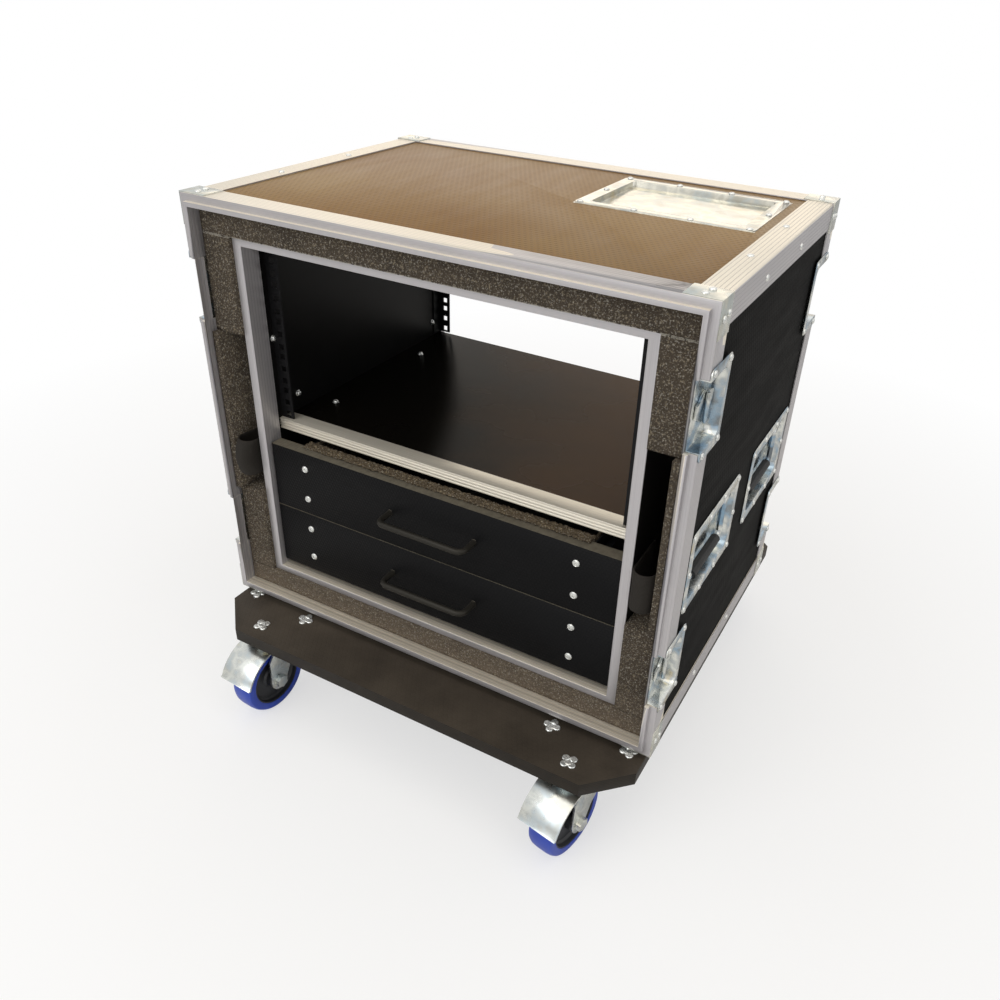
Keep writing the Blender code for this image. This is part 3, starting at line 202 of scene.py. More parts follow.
class Finish:
    # a Principled material whose patterns read Object coordinates
    def __init__(self, name, fixed):
        self.material = bpy.data.materials.new(name)
        self.material.use_nodes = True
        self.tree = self.material.node_tree
        self.shader = next(n for n in self.tree.nodes if n.type == "BSDF_PRINCIPLED")
        self.point = self.add("ShaderNodeTexCoord", output=3)
        self.facing = self.add("ShaderNodeTexCoord", output=1)
        self.x, self.y, self.z = self.parts(self.point)
        for name, value in fixed.items():
            self.set(name, value)

    def add(self, kind, settings=None, values=None, output=0):
        return addNode(self.tree, kind, settings, values, output)

    def parts(self, vector):
        split = self.add("ShaderNodeSeparateXYZ", None, {0: vector}).socket.node
        return [Wire(self.tree, split.outputs[index]) for index in range(3)]

    def set(self, name, value):
        if isinstance(value, Wire):
            self.tree.links.new(value.socket, self.shader.inputs[name])
        else:
            self.shader.inputs[name].default_value = value

    def noise(self, scale, detail=2.0, stretch=(1, 1, 1), rough=0.5):
        mapped = self.add(
            "ShaderNodeMapping", {"vector_type": "POINT"}, {"Vector": self.point, "Scale": stretch}
        )
        values = {"Vector": mapped, "Scale": scale, "Detail": detail, "Roughness": rough}
        return self.add("ShaderNodeTexNoise", None, values)

    def cells(self, scale):
        return self.add("ShaderNodeTexVoronoi", None, {"Vector": self.point, "Scale": scale})

    def ramp(self, share, stops):
        return self.add("ShaderNodeValToRGB", {"stops": stops}, {0: share})

    def mix(self, share, first, second):
        values = {0: share, 6: first, 7: second}
        return self.add("ShaderNodeMix", {"data_type": "RGBA"}, values, 2)

    def bump(self, height, distance, strength=1.0):
        values = {"Strength": strength, "Distance": distance, "Height": height}
        self.set("Normal", self.add("ShaderNodeBump", None, values))


def hexCell(across, along, pitch):
    # 0 in the middle of a hexagon and 1 at its border
    root = math.sqrt(3)
    column, row = across / pitch, along / (pitch * root)
    spans = []
    for shift in (0.0, 0.5):
        x = abs((column + shift).fraction() - 0.5)
        y = abs((row + shift).fraction() - 0.5) * root
        spans.append(x.most(x * 0.5 + y * (root / 2)))
    return spans[0].least(spans[1]) * 2


def inside(finish, centre, halves, axes):
    # 1 within a rectangle on two of the three axes
    share = None
    for axis, middle, half in zip(axes, centre, halves):
        part = abs(getattr(finish, axis) - middle) < half
        share = part if share is None else share * part
    return share


metal = {
    # the zinc ramp: painted reflection as well as passivation bloom
    "deep": tone(84, 92, 100),
    "blue": tone(120, 156, 184),
    "grey": tone(170, 175, 178),
    "white": tone(236, 236, 228),
    "gold": tone(204, 184, 132),
    "even": tone(204, 206, 200),
    "pressed": tone(206, 200, 182),
    "patch": 34.0,
}


def zincTone(finish):
    # bright zinc: its ramp of dark, blue, white and gold patches is painted reflection as well as
    # the bloom of its passivation
    cloud = finish.noise(metal["patch"], 3.0)
    bloomAndReflection = finish.ramp(cloud, [
        (0.33, metal["deep"]), (0.42, metal["blue"]), (0.49, metal["grey"]),
        (0.56, metal["white"]), (0.63, metal["grey"]), (0.72, metal["gold"]),
    ])
    fleck = (finish.noise(420.0, 3.0) - 0.5) * 0.5 + 0.5
    return finish.mix(fleck * 0.45, bloomAndReflection, metal["grey"])


def zincFinish(name, calm, rough=0.2):
    # calm is how much an even tone covers the bloom and painted reflection
    finish = Finish(name, {"Metallic": 1.0})
    finish.set("Base Color", finish.mix(calm, zincTone(finish), metal["even"]))
    finish.set("Roughness", finish.noise(90.0, 4.0) * 0.22 + (rough - 0.06))
    finish.bump(finish.noise(700.0, 2.0), 0.00006, 0.35)
    return finish


alloy = {
    "light": tone(206, 203, 203),
    "dark": tone(160, 157, 161),
    # levelLight and levelDark paint level faces lighter, as if lit from above, and groove is
    # painted shade in the rib hollows
    "levelLight": tone(242, 234, 216),
    "levelDark": tone(206, 198, 186),
    "groove": tone(112, 110, 118),
    "brace": tone(206, 203, 184),
    "ribPitch": 0.0044,
    "ribDepth": 0.00035,
    "streaks": 900,
    "edgeStart": 0.2763,
    "trimHalf": 0.2534,
    "trimSpan": (0.1905, 0.6398),
    "braceProud": 0.0002,
}


def drawAlloy(finish, across, plain=0.0):
    # the colour, groove height and roughness of ribs along a drawn bar; level faces get a painted
    # lit tone and the grooves painted shade
    rib = abs((across / alloy["ribPitch"]).fraction() - 0.5) * 2
    groove = (rib * 4 + plain).limited()
    streakAt = finish.add("ShaderNodeCombineXYZ", None, {0: across * alloy["streaks"]})
    values = {"Vector": streakAt, "Scale": 1.0, "Detail": 3.0}
    streak = finish.add("ShaderNodeTexNoise", None, values)
    cloud = finish.noise(9.0, 3.0)
    worn = streak * 0.75 + cloud * 0.25
    shade = finish.mix(worn, alloy["dark"], alloy["light"])
    paintedLitLevel = finish.mix(worn, alloy["levelDark"], alloy["levelLight"])
    normalZ = finish.parts(finish.facing)[2]
    # painted light: faces that look up take the lighter tone
    shade = finish.mix(normalZ > 0.5, shade, paintedLitLevel)
    # painted shade: the rib grooves take a darker tone
    shade = finish.mix((1 - groove) * 0.6, shade, alloy["groove"])
    return shade, groove + streak * 0.15, streak * 0.16 + 0.3 + cloud * 0.08


def alloyFinish(name, kind):
    # drawn aluminium, with fine ribs along each bar, and the rims' zinc corner braces
    finish = Finish(name, {"Metallic": 0.6})
    normalY = finish.parts(finish.facing)[1]
    half, low, high = case["half"], case["bottom"], case["top"]
    if kind == "trim":
        half, (low, high) = alloy["trimHalf"], alloy["trimSpan"]
    inset = (half - abs(finish.x)).least((finish.z - low).least(high - finish.z))
    front = abs(normalY) > 0.7
    shade, height, rough = drawAlloy(finish, inset * front + finish.y * (1 - front), front * 0.75)
    if kind == "rim":
        skin = alloy["braceProud"]
        proud = (abs(finish.x) > half + skin).most(
            (finish.z > high + skin).most(finish.z < low - skin)
        )
        # the braces take the zinc tone with its painted reflection
        plate = finish.mix(0.55, zincTone(finish), alloy["brace"])
        shade = finish.mix(proud, shade, plate)
        height = height * (1 - proud)
        rough = rough * (1 - proud) + proud * 0.24
    finish.set("Base Color", shade)
    finish.set("Roughness", rough)
    finish.bump(height, alloy["ribDepth"], 0.7)
    return finish


laminate = {
    # one board painted twice: the top tones hold painted sheen and the side tones painted shade
    "topLow": tone(122, 89, 46),
    "topHigh": tone(150, 124, 80),
    "topDot": tone(84, 58, 26),
    "sideLow": tone(9, 9, 9),
    "sideHigh": tone(19, 18, 18),
    "sideDot": tone(6, 6, 6),
    "pitch": 0.0068,
    "depth": 0.0004,
    "footRubber": tone(20, 20, 20),
    "footTop": 0.1499,
}


def laminateFinish(name, low, high, dots, axes, rough=0.42):
    # phenolic laminate with a hexagonal grid of small relief dots
    finish = Finish(name, {"Specular IOR Level": 0.14})
    cell = hexCell(getattr(finish, axes[0]), getattr(finish, axes[1]), laminate["pitch"])
    dot = ((0.62 - cell) * 5).limited()
    cloud = finish.noise(4.0, 4.0)
    scuff = finish.noise(60.0, 6.0, (1, 0.2, 1))
    shade = finish.mix(((cloud - 0.3) * 1.8).limited(), low, high)
    finish.shade = finish.mix(dot * 0.3, shade, dots)
    finish.height = dot * 0.8 + finish.noise(900.0, 2.0) * 0.2
    finish.rough = scuff * 0.18 + (rough - 0.09)
    finish.set("Base Color", finish.shade)
    finish.set("Roughness", finish.rough)
    return finish


def edgeBar(finish):
    # the share and look of the two edge angles along a top or bottom panel
    normalZ = finish.parts(finish.facing)[2]
    level = abs(normalZ) > 0.7
    across = abs(finish.x) * level + finish.z * (1 - level)
    shade, height, rough = drawAlloy(finish, across)
    return abs(finish.x) > alloy["edgeStart"], shade, height, rough


def topFinish():
    # laminate in tones that hold a painted sheen, with the pressed label dish and the edge angles
    finish = laminateFinish(
        "topLaminate", laminate["topLow"], laminate["topHigh"], laminate["topDot"], "xy"
    )
    label = inside(finish, case["label"], case["labelHalf"], "xy")
    bar, barShade, barHeight, barRough = edgeBar(finish)
    # the label dish takes the zinc tone with its painted reflection
    pressed = finish.mix(0.62, zincTone(finish), metal["pressed"])
    shade = finish.mix(label, finish.shade, pressed)
    finish.set("Base Color", finish.mix(bar, shade, barShade))
    rough = finish.rough * (1 - label) + label * 0.16
    finish.set("Roughness", rough * (1 - bar) + barRough * bar)
    finish.set("Metallic", label * 0.9 + bar * 0.6)
    height = finish.height * (1 - label) * (1 - bar)
    finish.bump(height + barHeight * bar, laminate["depth"], 0.8)
    return finish


def sideFinish():
    # laminate in near-black tones that are painted shade of the top's board
    finish = laminateFinish(
        "sideLaminate", laminate["sideLow"], laminate["sideHigh"], laminate["sideDot"], "yz", 0.5
    )
    finish.set("Specular IOR Level", 0.012)
    finish.bump(finish.height, laminate["depth"], 0.5)
    return finish


foam = {
    "dark": tone(56, 51, 46),
    "brown": tone(88, 78, 66),
    "speck": tone(150, 138, 116),
    "pale": tone(204, 198, 184),
    "low": tone(122, 109, 94),
    "lowTop": 0.23,
    "seam": (0.6401, 0.0012),
    "lining": tone(96, 84, 66),
    "liningSpeck": tone(178, 162, 132),
}


def foamFinish(name, dark, speck, lowShare):
    # pressed foam chips, paler in the lowest block, with a glued seam under the top one
    finish = Finish(name, {"Roughness": 0.95, "Specular IOR Level": 0.15})
    grain = finish.noise(380.0, 4.0, rough=0.7)
    chip = finish.cells(300.0)
    base = finish.mix(finish.noise(30.0, 3.0), dark, foam["brown"])
    if lowShare:
        low = ((foam["lowTop"] - finish.z) * 14).limited() * lowShare
        base = finish.mix(low, base, foam["low"])
    specks = ((grain - 0.54) * 9).limited()
    shade = finish.mix(specks * 0.75, base, speck)
    bright = ((finish.noise(620.0, 2.0) - 0.57) * 8).limited()
    level, half = foam["seam"]
    seam = (abs(finish.z - level) < half) * (grain > 0.46)
    finish.set("Base Color", finish.mix((bright * 0.42).most(seam * 0.6), shade, foam["pale"]))
    finish.bump(grain + chip * 0.6, 0.0022, 1.0)
    return finish


sleeve = {
    "board": tone(12, 12, 12),
    "boardHigh": tone(22, 21, 20),
    "steel": tone(16, 16, 17),
    "steelHigh": tone(32, 32, 33),
    "shelfLow": tone(13, 11, 8),
    # shelfHigh is the brown of the painted sheen
    "shelfHigh": tone(108, 74, 34),
    "runner": tone(70, 71, 72),
    "noseLow": tone(206, 200, 188),
    "noseHigh": tone(240, 234, 218),
    "bayHalf": 0.2440,
    "railFoot": 0.4084,
    "runnerTop": 0.3970,
    "noseBack": -0.1721,
}


def sleeveFinish():
    # black laminate, with the painted rails and the bare drawer runners in the bay
    finish = Finish("sleeveLaminate", {"Specular IOR Level": 0.12})
    cloud = finish.noise(14.0, 4.0)
    board = finish.mix(cloud, sleeve["board"], sleeve["boardHigh"])
    steel = finish.mix(finish.noise(240.0, 3.0), sleeve["steel"], sleeve["steelHigh"])
    bay = abs(finish.x) < sleeve["bayHalf"]
    rail = bay * (finish.z > sleeve["railFoot"])
    runner = bay * (finish.z < sleeve["runnerTop"])
    shade = finish.mix(rail, board, steel)
    finish.set("Base Color", finish.mix(runner, shade, sleeve["runner"]))
    finish.set("Metallic", runner * 0.5 + rail * 0.1)
    finish.set("Roughness", cloud * 0.12 + 0.3)
    finish.bump(finish.noise(1100.0, 3.0), 0.00025, 0.5)
    return finish


def shelfFinish():
    # a dark board mottled by a cloud, with a painted sheen that grows browner to the right and the
    # back, behind a bright nose
    finish = Finish("shelfBoard", {"Specular IOR Level": 0.012})
    nose = finish.y < sleeve["noseBack"]
    cloud = finish.noise(6.0, 4.0)
    # painted sheen: the board browns towards the right and the back, plus a random cloud mottle
    worn = (finish.x + finish.y * 0.4 + 0.1) * 2.4 + (cloud - 0.5) * 0.8
    board = finish.mix(worn.limited(), sleeve["shelfLow"], sleeve["shelfHigh"])
    streak = finish.noise(700.0, 3.0, (0.02, 1, 1))
    bright = finish.mix(streak, sleeve["noseLow"], sleeve["noseHigh"])
    finish.set("Base Color", finish.mix(nose, board, bright))
    finish.set("Metallic", nose * 0.5)
    finish.set("Roughness", nose * 0.08 + cloud * 0.1 + 0.22)
    finish.bump(finish.noise(1300.0, 2.0), 0.0002, 0.35)
    return finish


drawer = {
    "low": tone(9, 9, 10),
    "high": tone(20, 20, 21),
    "edge": tone(124, 118, 104),
    "pull": tone(52, 50, 46),
    "pullStart": 0.0006,
    "pitch": 0.0045,
}


def drawerFinish():
    # the front has a fine embossing, and its pull is satin black
    finish = Finish("drawerLaminate", {"Specular IOR Level": 0.08})
    pull = finish.y < case["drawerFace"] - drawer["pullStart"]
    normalZ = finish.parts(finish.facing)[2]
    cell = hexCell(finish.x, finish.z, drawer["pitch"])
    raised = ((0.85 - cell) * 4).limited()
    cloud = finish.noise(18.0, 5.0)
    face = finish.mix((cloud * 0.7 + raised * 0.3).limited(), drawer["low"], drawer["high"])
    rim = (abs(normalZ) > 0.7) * (1 - pull)
    face = finish.mix(rim * (0.4 + finish.noise(160.0, 4.0) * 0.6), face, drawer["edge"])
    finish.set("Base Color", finish.mix(pull, face, drawer["pull"]))
    finish.set("Metallic", pull * 0.4)
    finish.set("Roughness", (1 - pull) * 0.1 + cloud * 0.16 + 0.3)
    finish.bump(raised * (1 - pull) + finish.noise(1500.0) * 0.2, 0.0003, 0.5)
    return finish


bail = {
    "rubber": tone(18, 18, 18),
    "rubberWorn": tone(44, 43, 42),
    "gripTop": 0.3655,
    "gripHalf": 0.0411,
    "ribPitch": 0.004,
}


def bailFinish():
    # a bright bent rod inside a ribbed rubber grip
    finish = Finish("handleBail", {"Specular IOR Level": 0.5})
    front, rear = (
        inside(finish, (row,), (bail["gripHalf"],), "y") for row in case["handleRows"]
    )
    grip = (finish.z < bail["gripTop"]) * front.most(rear)
    rib = abs((finish.y / bail["ribPitch"]).fraction() - 0.5) * 2
    wear = finish.noise(120.0, 4.0)
    rubber = finish.mix(wear, bail["rubber"], bail["rubberWorn"])
    # the rod takes the zinc tone with its painted reflection
    finish.set("Base Color", finish.mix(grip, zincTone(finish), rubber))
    finish.set("Metallic", 1 - grip)
    finish.set("Roughness", grip * 0.42 + 0.2 + wear * 0.1)
    finish.bump((rib * 3).limited() * grip + finish.noise(900.0) * 0.1, 0.0006, 0.7)
    return finish


board = {
    "low": tone(54, 48, 41),
    "high": tone(80, 72, 62),
    "edge": tone(30, 27, 24),
    "wear": tone(104, 90, 70),
    "under": 0.1249,
    "ply": 0.0026,
}


def boardFinish():
    # textured ply with bare edges, over the zinc plates of the casters
    finish = Finish("casterBoard", {"Specular IOR Level": 0.16})
    cell = hexCell(finish.x, finish.y, laminate["pitch"])
    raised = ((0.9 - cell) * 4).limited()
    cloud = finish.noise(7.0, 5.0)
    dirt = finish.noise(34.0, 6.0)
    worn = ((cloud - 0.35) * 1.6 + (dirt - 0.5) * 0.7 + raised * 0.05).limited()
    top = finish.mix(worn, board["low"], board["high"])
    normalZ = finish.parts(finish.facing)[2]
    side = (abs(normalZ) < 0.6) * (finish.z > board["under"])
    ply = abs((finish.z / board["ply"]).fraction() - 0.5) * 2
    edge = finish.mix(ply * 0.25 * finish.noise(70.0, 4.0), board["edge"], board["wear"])
    shade = finish.mix(side, top, edge)
    plate = finish.z < board["under"]
    # the caster plates take the zinc tone with its painted reflection
    finish.set("Base Color", finish.mix(plate, shade, zincTone(finish)))
    finish.set("Metallic", plate)
    finish.set("Roughness", cloud * 0.14 + 0.42 - plate * 0.25)
    finish.bump(raised * (1 - plate) * (1 - side) + finish.noise(900.0) * 0.4, 0.0003, 0.3)
    return finish


def bottomFinish():
    # laminate in the side tones' painted shade, with edge angles, on four rubber feet
    finish = laminateFinish(
        "bottomLaminate", laminate["sideLow"], laminate["sideHigh"], laminate["sideDot"], "xy"
    )
    bar, barShade, barHeight, barRough = edgeBar(finish)
    foot = (finish.z < laminate["footTop"]) * (1 - bar)
    shade = finish.mix(foot, finish.shade, laminate["footRubber"])
    finish.set("Base Color", finish.mix(bar, shade, barShade))
    rough = finish.rough * (1 - foot) + foot * 0.75
    finish.set("Roughness", rough * (1 - bar) + barRough * bar)
    finish.set("Metallic", bar * 0.6)
    finish.bump(finish.height * (1 - foot) * (1 - bar) + barHeight * bar, laminate["depth"], 0.6)
    return finish


webbing = {"dark": tone(22, 21, 20), "light": tone(54, 49, 43), "rib": 0.0016, "pick": 0.0011}


def webbingFinish():
    finish = Finish("strapWebbing", {"Roughness": 0.82, "Specular IOR Level": 0.25})
    rib = abs((finish.z / webbing["rib"]).fraction() - 0.5) * 2
    pick = abs(((finish.x + finish.y) / webbing["pick"]).fraction() - 0.5) * 2
    weave = rib * 0.65 + pick * 0.35
    fuzz = finish.noise(900.0, 3.0)
    worn = weave * 0.6 + fuzz * 0.4
    finish.set("Base Color", finish.mix(worn, webbing["dark"], webbing["light"]))
    finish.bump(weave + fuzz * 0.3, 0.0005, 0.8)
    return finish


wheel = {"blue": tone(18, 44, 150), "blueHigh": tone(44, 82, 196)}


def tyreFinish():
    finish = Finish("blueRubber", {"Specular IOR Level": 0.5})
    cloud = finish.noise(30.0, 4.0)
    dust = finish.noise(240.0, 4.0)
    finish.set("Base Color", finish.mix(cloud * 0.7 + dust * 0.3, wheel["blue"], wheel["blueHigh"]))
    finish.set("Roughness", dust * 0.22 + 0.26)
    finish.bump(dust, 0.0003, 0.3)
    return finish


# grain is a noise's scale and detail, rough its slope and start, and relief the
# scale and detail of a second noise, with the depth and strength of its bump
even = {
    "steel": {
        "grain": (30.0, 4.0), "shades": (tone(18, 18, 19), tone(36, 36, 37)),
        "rough": (0.2, 0.32), "relief": (1500.0, 2.0, 0.00015, 0.4),
    },
    "hub": {
        "grain": (60.0, 4.0), "shades": (tone(24, 25, 28), tone(46, 48, 52)),
        "rough": (0.2, 0.36), "relief": (60.0, 4.0, 0.0003, 0.3),
    },
    "bolt": {
        "grain": (300.0, 2.0), "shades": (tone(176, 180, 182), tone(246, 245, 238)),
        "rough": (0.14, 0.2), "relief": (900.0, 2.0, 0.0001, 0.3),
    },
}


def evenFinish(name, kind, fixed):
    values = even[kind]
    slope, start = values["rough"]
    scale, detail, depth, strength = values["relief"]
    finish = Finish(name, fixed)
    cloud = finish.noise(*values["grain"])
    finish.set("Base Color", finish.mix(cloud, *values["shades"]))
    finish.set("Roughness", cloud * slope + start)
    finish.bump(finish.noise(scale, detail), depth, strength)
    return finish


finishes = {
    "zinc": zincFinish("brightZinc", 0.22),
    "casterZinc": zincFinish("casterZinc", 0.66, 0.24),
    "bolt": evenFinish("brightBolt", "bolt", {"Metallic": 0.7}),
    "rim": alloyFinish("rimAlloy", "rim"),
    "trim": alloyFinish("trimAlloy", "trim"),
    "top": topFinish(),
    "side": sideFinish(),
    "bottom": bottomFinish(),
    "foam": foamFinish("chipFoam", foam["dark"], foam["speck"], 0.6),
    "liner": foamFinish("drawerLiner", foam["lining"], foam["liningSpeck"], 0),
    "sleeve": sleeveFinish(),
    "shelf": shelfFinish(),
    "drawer": drawerFinish(),
    "steel": evenFinish("blackSteel", "steel", {"Specular IOR Level": 0.25}),
    "bail": bailFinish(),
    "board": boardFinish(),
    "webbing": webbingFinish(),
    "tyre": tyreFinish(),
    "hub": evenFinish("hubNylon", "hub", {"Specular IOR Level": 0.5}),
}
print("finishes made")


def deselectAll():
    if bpy.context.object and bpy.context.object.mode != "OBJECT":
        bpy.ops.object.mode_set(mode="OBJECT")
    bpy.ops.object.select_all(action="DESELECT")


def choose(piece):
    deselectAll()
    piece.select_set(True)
    bpy.context.view_layer.objects.active = piece


def editAll(piece):
    choose(piece)
    bpy.ops.object.mode_set(mode="EDIT")
    bpy.ops.mesh.select_all(action="SELECT")


def pickFaces(piece, test):
    # in edit mode, only the faces that pass stay selected
    bpy.ops.mesh.select_mode(type="FACE")
    bpy.ops.mesh.select_all(action="DESELECT")
    shape = bmesh.from_edit_mesh(piece.data)
    for face in shape.faces:
        if test(face):
            face.select_set(True)
    bmesh.update_edit_mesh(piece.data)


def pickPoints(piece, test):
    bpy.ops.mesh.select_mode(type="VERT")
    bpy.ops.mesh.select_all(action="DESELECT")
    shape = bmesh.from_edit_mesh(piece.data)
    for point in shape.verts:
        if test(point.co):
            point.select_set(True)
    shape.select_flush_mode()
    bmesh.update_edit_mesh(piece.data)


def applyModifier(piece, kind, **settings):
    choose(piece)
    modifier = piece.modifiers.new(kind.lower(), kind)
    for name, value in settings.items():
        setattr(modifier, name, value)
    bpy.ops.object.modifier_apply(modifier=modifier.name)


def smooth(piece, degrees):
    choose(piece)
    bpy.ops.object.shade_smooth_by_angle(angle=math.radians(degrees))


def settle(piece, name, finish, body):
    # place into the mesh, then its name, finish and body
    choose(piece)
    bpy.ops.object.transform_apply(location=True, rotation=True, scale=True)
    piece.name = name
    piece.data.name = name
    piece.data.materials.clear()
    piece.data.materials.append(finish.material)
    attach(piece, body)
    return piece


def lathe(profile, segments):
    # a turned piece on the z axis, from (radius, height) pairs
    deselectAll()
    radius, height = profile[0]
    bpy.ops.mesh.primitive_circle_add(
        vertices=segments, radius=radius, fill_type="NGON", location=(0, 0, height)
    )
    piece = bpy.context.object
    bpy.ops.object.transform_apply(location=True)
    bpy.ops.object.mode_set(mode="EDIT")
    for nextRadius, nextHeight in profile[1:]:
        bpy.ops.mesh.extrude_region_move(
            TRANSFORM_OT_translate={"value": (0, 0, nextHeight - height)}
        )
        share = nextRadius / radius
        bpy.ops.transform.resize(value=(share, share, 1), center_override=(0, 0, nextHeight))
        radius, height = nextRadius, nextHeight
    bpy.ops.mesh.select_all(action="SELECT")
    bpy.ops.mesh.remove_doubles(threshold=0.000001)
    bpy.ops.mesh.normals_make_consistent(inside=False)
    bpy.ops.object.mode_set(mode="OBJECT")
    return piece


def block(low, high):
    # a box between two corners, to be shaped further
    deselectAll()
    middle = [(a + b) / 2 for a, b in zip(low, high)]
    bpy.ops.mesh.primitive_cube_add(size=1, location=middle)
    piece = bpy.context.object
    piece.scale = [b - a for a, b in zip(low, high)]
    bpy.ops.object.transform_apply(location=True, rotation=True, scale=True)
    return piece


def joinAll(pieces):
    deselectAll()
    for piece in pieces:
        piece.select_set(True)
    bpy.context.view_layer.objects.active = pieces[0]
    bpy.ops.object.join()
    return bpy.context.object


def turnedHeads(profile, segments, places):
    # one turned head, copied with its own mesh to each (place, direction), all joined
    master = lathe(profile, segments)
    made = []
    for place, direction in places:
        piece = master.copy()
        piece.data = master.data.copy()
        bpy.context.scene.collection.objects.link(piece)
        turn = Vector(direction).to_track_quat("Z", "Y").to_matrix().to_4x4()
        piece.matrix_world = Matrix.Translation(place) @ turn
        made.append(piece)
    joined = joinAll(made)
    bpy.ops.object.transform_apply(location=True, rotation=True, scale=True)
    bpy.data.objects.remove(master)
    return joined


def settleHeads(piece, name, body="case"):
    smooth(piece, 40)
    settle(piece, name, finishes["bolt"], body)


ease = {
    "rim": 0.0007,
    "trim": 0.0006,
    "pressing": 0.0004,
    "board": 0.0014,
    "panel": 0.0006,
    "shelf": 0.0004,
    "drawer": 0.0007,
    "segments": 2,
    "fromAngle": 32,
    "flatAngle": 0.5,
    "merge": 0.00001,
}


def easedCopy(name, width, finish):
    # the CAD shape with its sharp edges broken, standing for its node
    deselectAll()
    source = nodes[name]
    body = source["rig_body"]
    piece = source.copy()
    piece.data = source.data.copy()
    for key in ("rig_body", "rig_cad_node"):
        del piece[key]
    piece.parent = None
    piece.matrix_world = Matrix.Identity(4)
    bpy.context.scene.collection.objects.link(piece)
    editAll(piece)
    bpy.ops.mesh.remove_doubles(threshold=ease["merge"])
    bpy.ops.mesh.dissolve_limited(angle_limit=math.radians(ease["flatAngle"]))
    bpy.ops.object.mode_set(mode="OBJECT")
    bpy.ops.object.shade_smooth()
    applyModifier(
        piece, "BEVEL", width=width, segments=ease["segments"], limit_method="ANGLE",
        angle_limit=math.radians(ease["fromAngle"]), use_clamp_overlap=True, harden_normals=True,
    )
    settle(piece, name + "_eased", finish, body)
    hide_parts(name)
    return piece


def paint(name, finish):
    # a new finish on a CAD node that stays
    mesh = nodes[name].data
    mesh.materials.clear()
    mesh.materials.append(finish.material)


tongue = {"slim": 0.0040, "near": 0.0155, "far": 0.0179}


def slimTongue(piece):
    # the inner wall of the rim's proud tongue moves out
    editAll(piece)
    bpy.ops.mesh.quads_convert_to_tris()
    near, far = tongue["near"], tongue["far"]
    for depth, way in (
        (lambda co: case["half"] + co.x, (-1, 0, 0)), (lambda co: case["half"] - co.x, (1, 0, 0)),
        (lambda co: case["top"] - co.z, (0, 0, 1)), (lambda co: co.z - case["bottom"], (0, 0, -1)),
    ):
        pickPoints(piece, lambda co: near < depth(co) < far)
        bpy.ops.transform.translate(value=[part * tongue["slim"] for part in way])
    bpy.ops.object.mode_set(mode="OBJECT")


for name, finish in (
    ("left_panel", "side"), ("right_panel", "side"), ("sleeve_box", "sleeve"),
    ("lower_drawer_box", "steel"), ("upper_drawer_box", "steel"),
):
    paint(name, finishes[finish])
for end in ("front", "rear"):
    rim = easedCopy(f"{end}_rim", ease["rim"], finishes["rim"])
    slimTongue(rim)
    easedCopy(f"sleeve_{end}_trim", ease["trim"], finishes["trim"])
easedCopy("top_panel", ease["panel"], finishes["top"])
easedCopy("bottom_panel", ease["panel"], finishes["bottom"])
easedCopy("shelf", ease["shelf"], finishes["shelf"])
for name in sorted(nodes):
    if name.startswith("handle_bail"):
        paint(name, finishes["bail"])
    elif name.startswith(("latch_", "handle_dish")):
        easedCopy(name, ease["pressing"], finishes["zinc"])
    elif name.startswith(("brake_pedal", "caster_fork")):
        easedCopy(name, ease["pressing"], finishes["casterZinc"])
easedCopy("caster_board", ease["board"], finishes["board"])
for level in ("lower", "upper"):
    easedCopy(f"{level}_drawer_front", ease["drawer"], finishes["drawer"])
print("shell and drawers dressed")


foamBlocks = {
    "cell": 0.0032,
    "rough": 0.0009,
    "front": -0.22925,
    "back": 0.18475,
    "outer": 0.2931,
    "layerNear": 0.2826,
    "layerFront": -0.2362,
    "pocket": 0.2884,
    "inner": 0.2537,
    "floor": 0.1634,
    "sleeveLow": 0.1902,
    "lower": 0.313,
    "upper": 0.5258,
    "sleeveHigh": 0.6401,
    "ceiling": 0.6696,
    "gap": 0.0004,
    "endGap": 0.0008,
    "pocketHalf": (0.0700, 0.0430),
    "pocketEnd": 0.31,
    "fill": 0.95,
}


def foamBlock(low, high, seed):
    # cut foam: both ends are a fine grid with a torn surface
    size = [b - a for a, b in zip(low, high)]
    cell = foamBlocks["cell"]
    columns = max(2, round(size[0] / cell))
    rows = max(2, round(size[2] / cell))
    deselectAll()
    bpy.ops.mesh.primitive_grid_add(
        x_subdivisions=columns, y_subdivisions=rows, size=1,
        location=((low[0] + high[0]) / 2, low[1], (low[2] + high[2]) / 2),
        rotation=(math.radians(90), 0, 0),
    )
    piece = bpy.context.object
    piece.scale = (size[0], size[2], 1)
    bpy.ops.object.transform_apply(location=True, rotation=True, scale=True)
    editAll(piece)
    bpy.ops.mesh.extrude_region_move(TRANSFORM_OT_translate={"value": (0, size[1], 0)})
    bpy.ops.mesh.select_all(action="SELECT")
    bpy.ops.mesh.normals_make_consistent(inside=False)
    margin = cell * 0.4
    pickPoints(piece, lambda co: (
        low[0] + margin < co.x < high[0] - margin and low[2] + margin < co.z < high[2] - margin
    ))
    bpy.ops.transform.vertex_random(
        offset=foamBlocks["rough"], uniform=0.25, normal=0.75, seed=seed
    )
    bpy.ops.object.mode_set(mode="OBJECT")
    smooth(piece, 180)
    return piece


def cutPockets(piece, sign):
    # room behind the two handle dishes of this side
    halfY, halfZ = foamBlocks["pocketHalf"]
    near, far = sorted((sign * foamBlocks["pocket"], sign * foamBlocks["pocketEnd"]))
    for row in case["handleRows"]:
        cutter = block(
            (near, row - halfY, case["handleLevel"] - halfZ),
            (far, row + halfY, case["handleLevel"] + halfZ),
        )
        applyModifier(piece, "BOOLEAN", operation="DIFFERENCE", solver="EXACT", object=cutter)
        bpy.data.objects.remove(cutter)


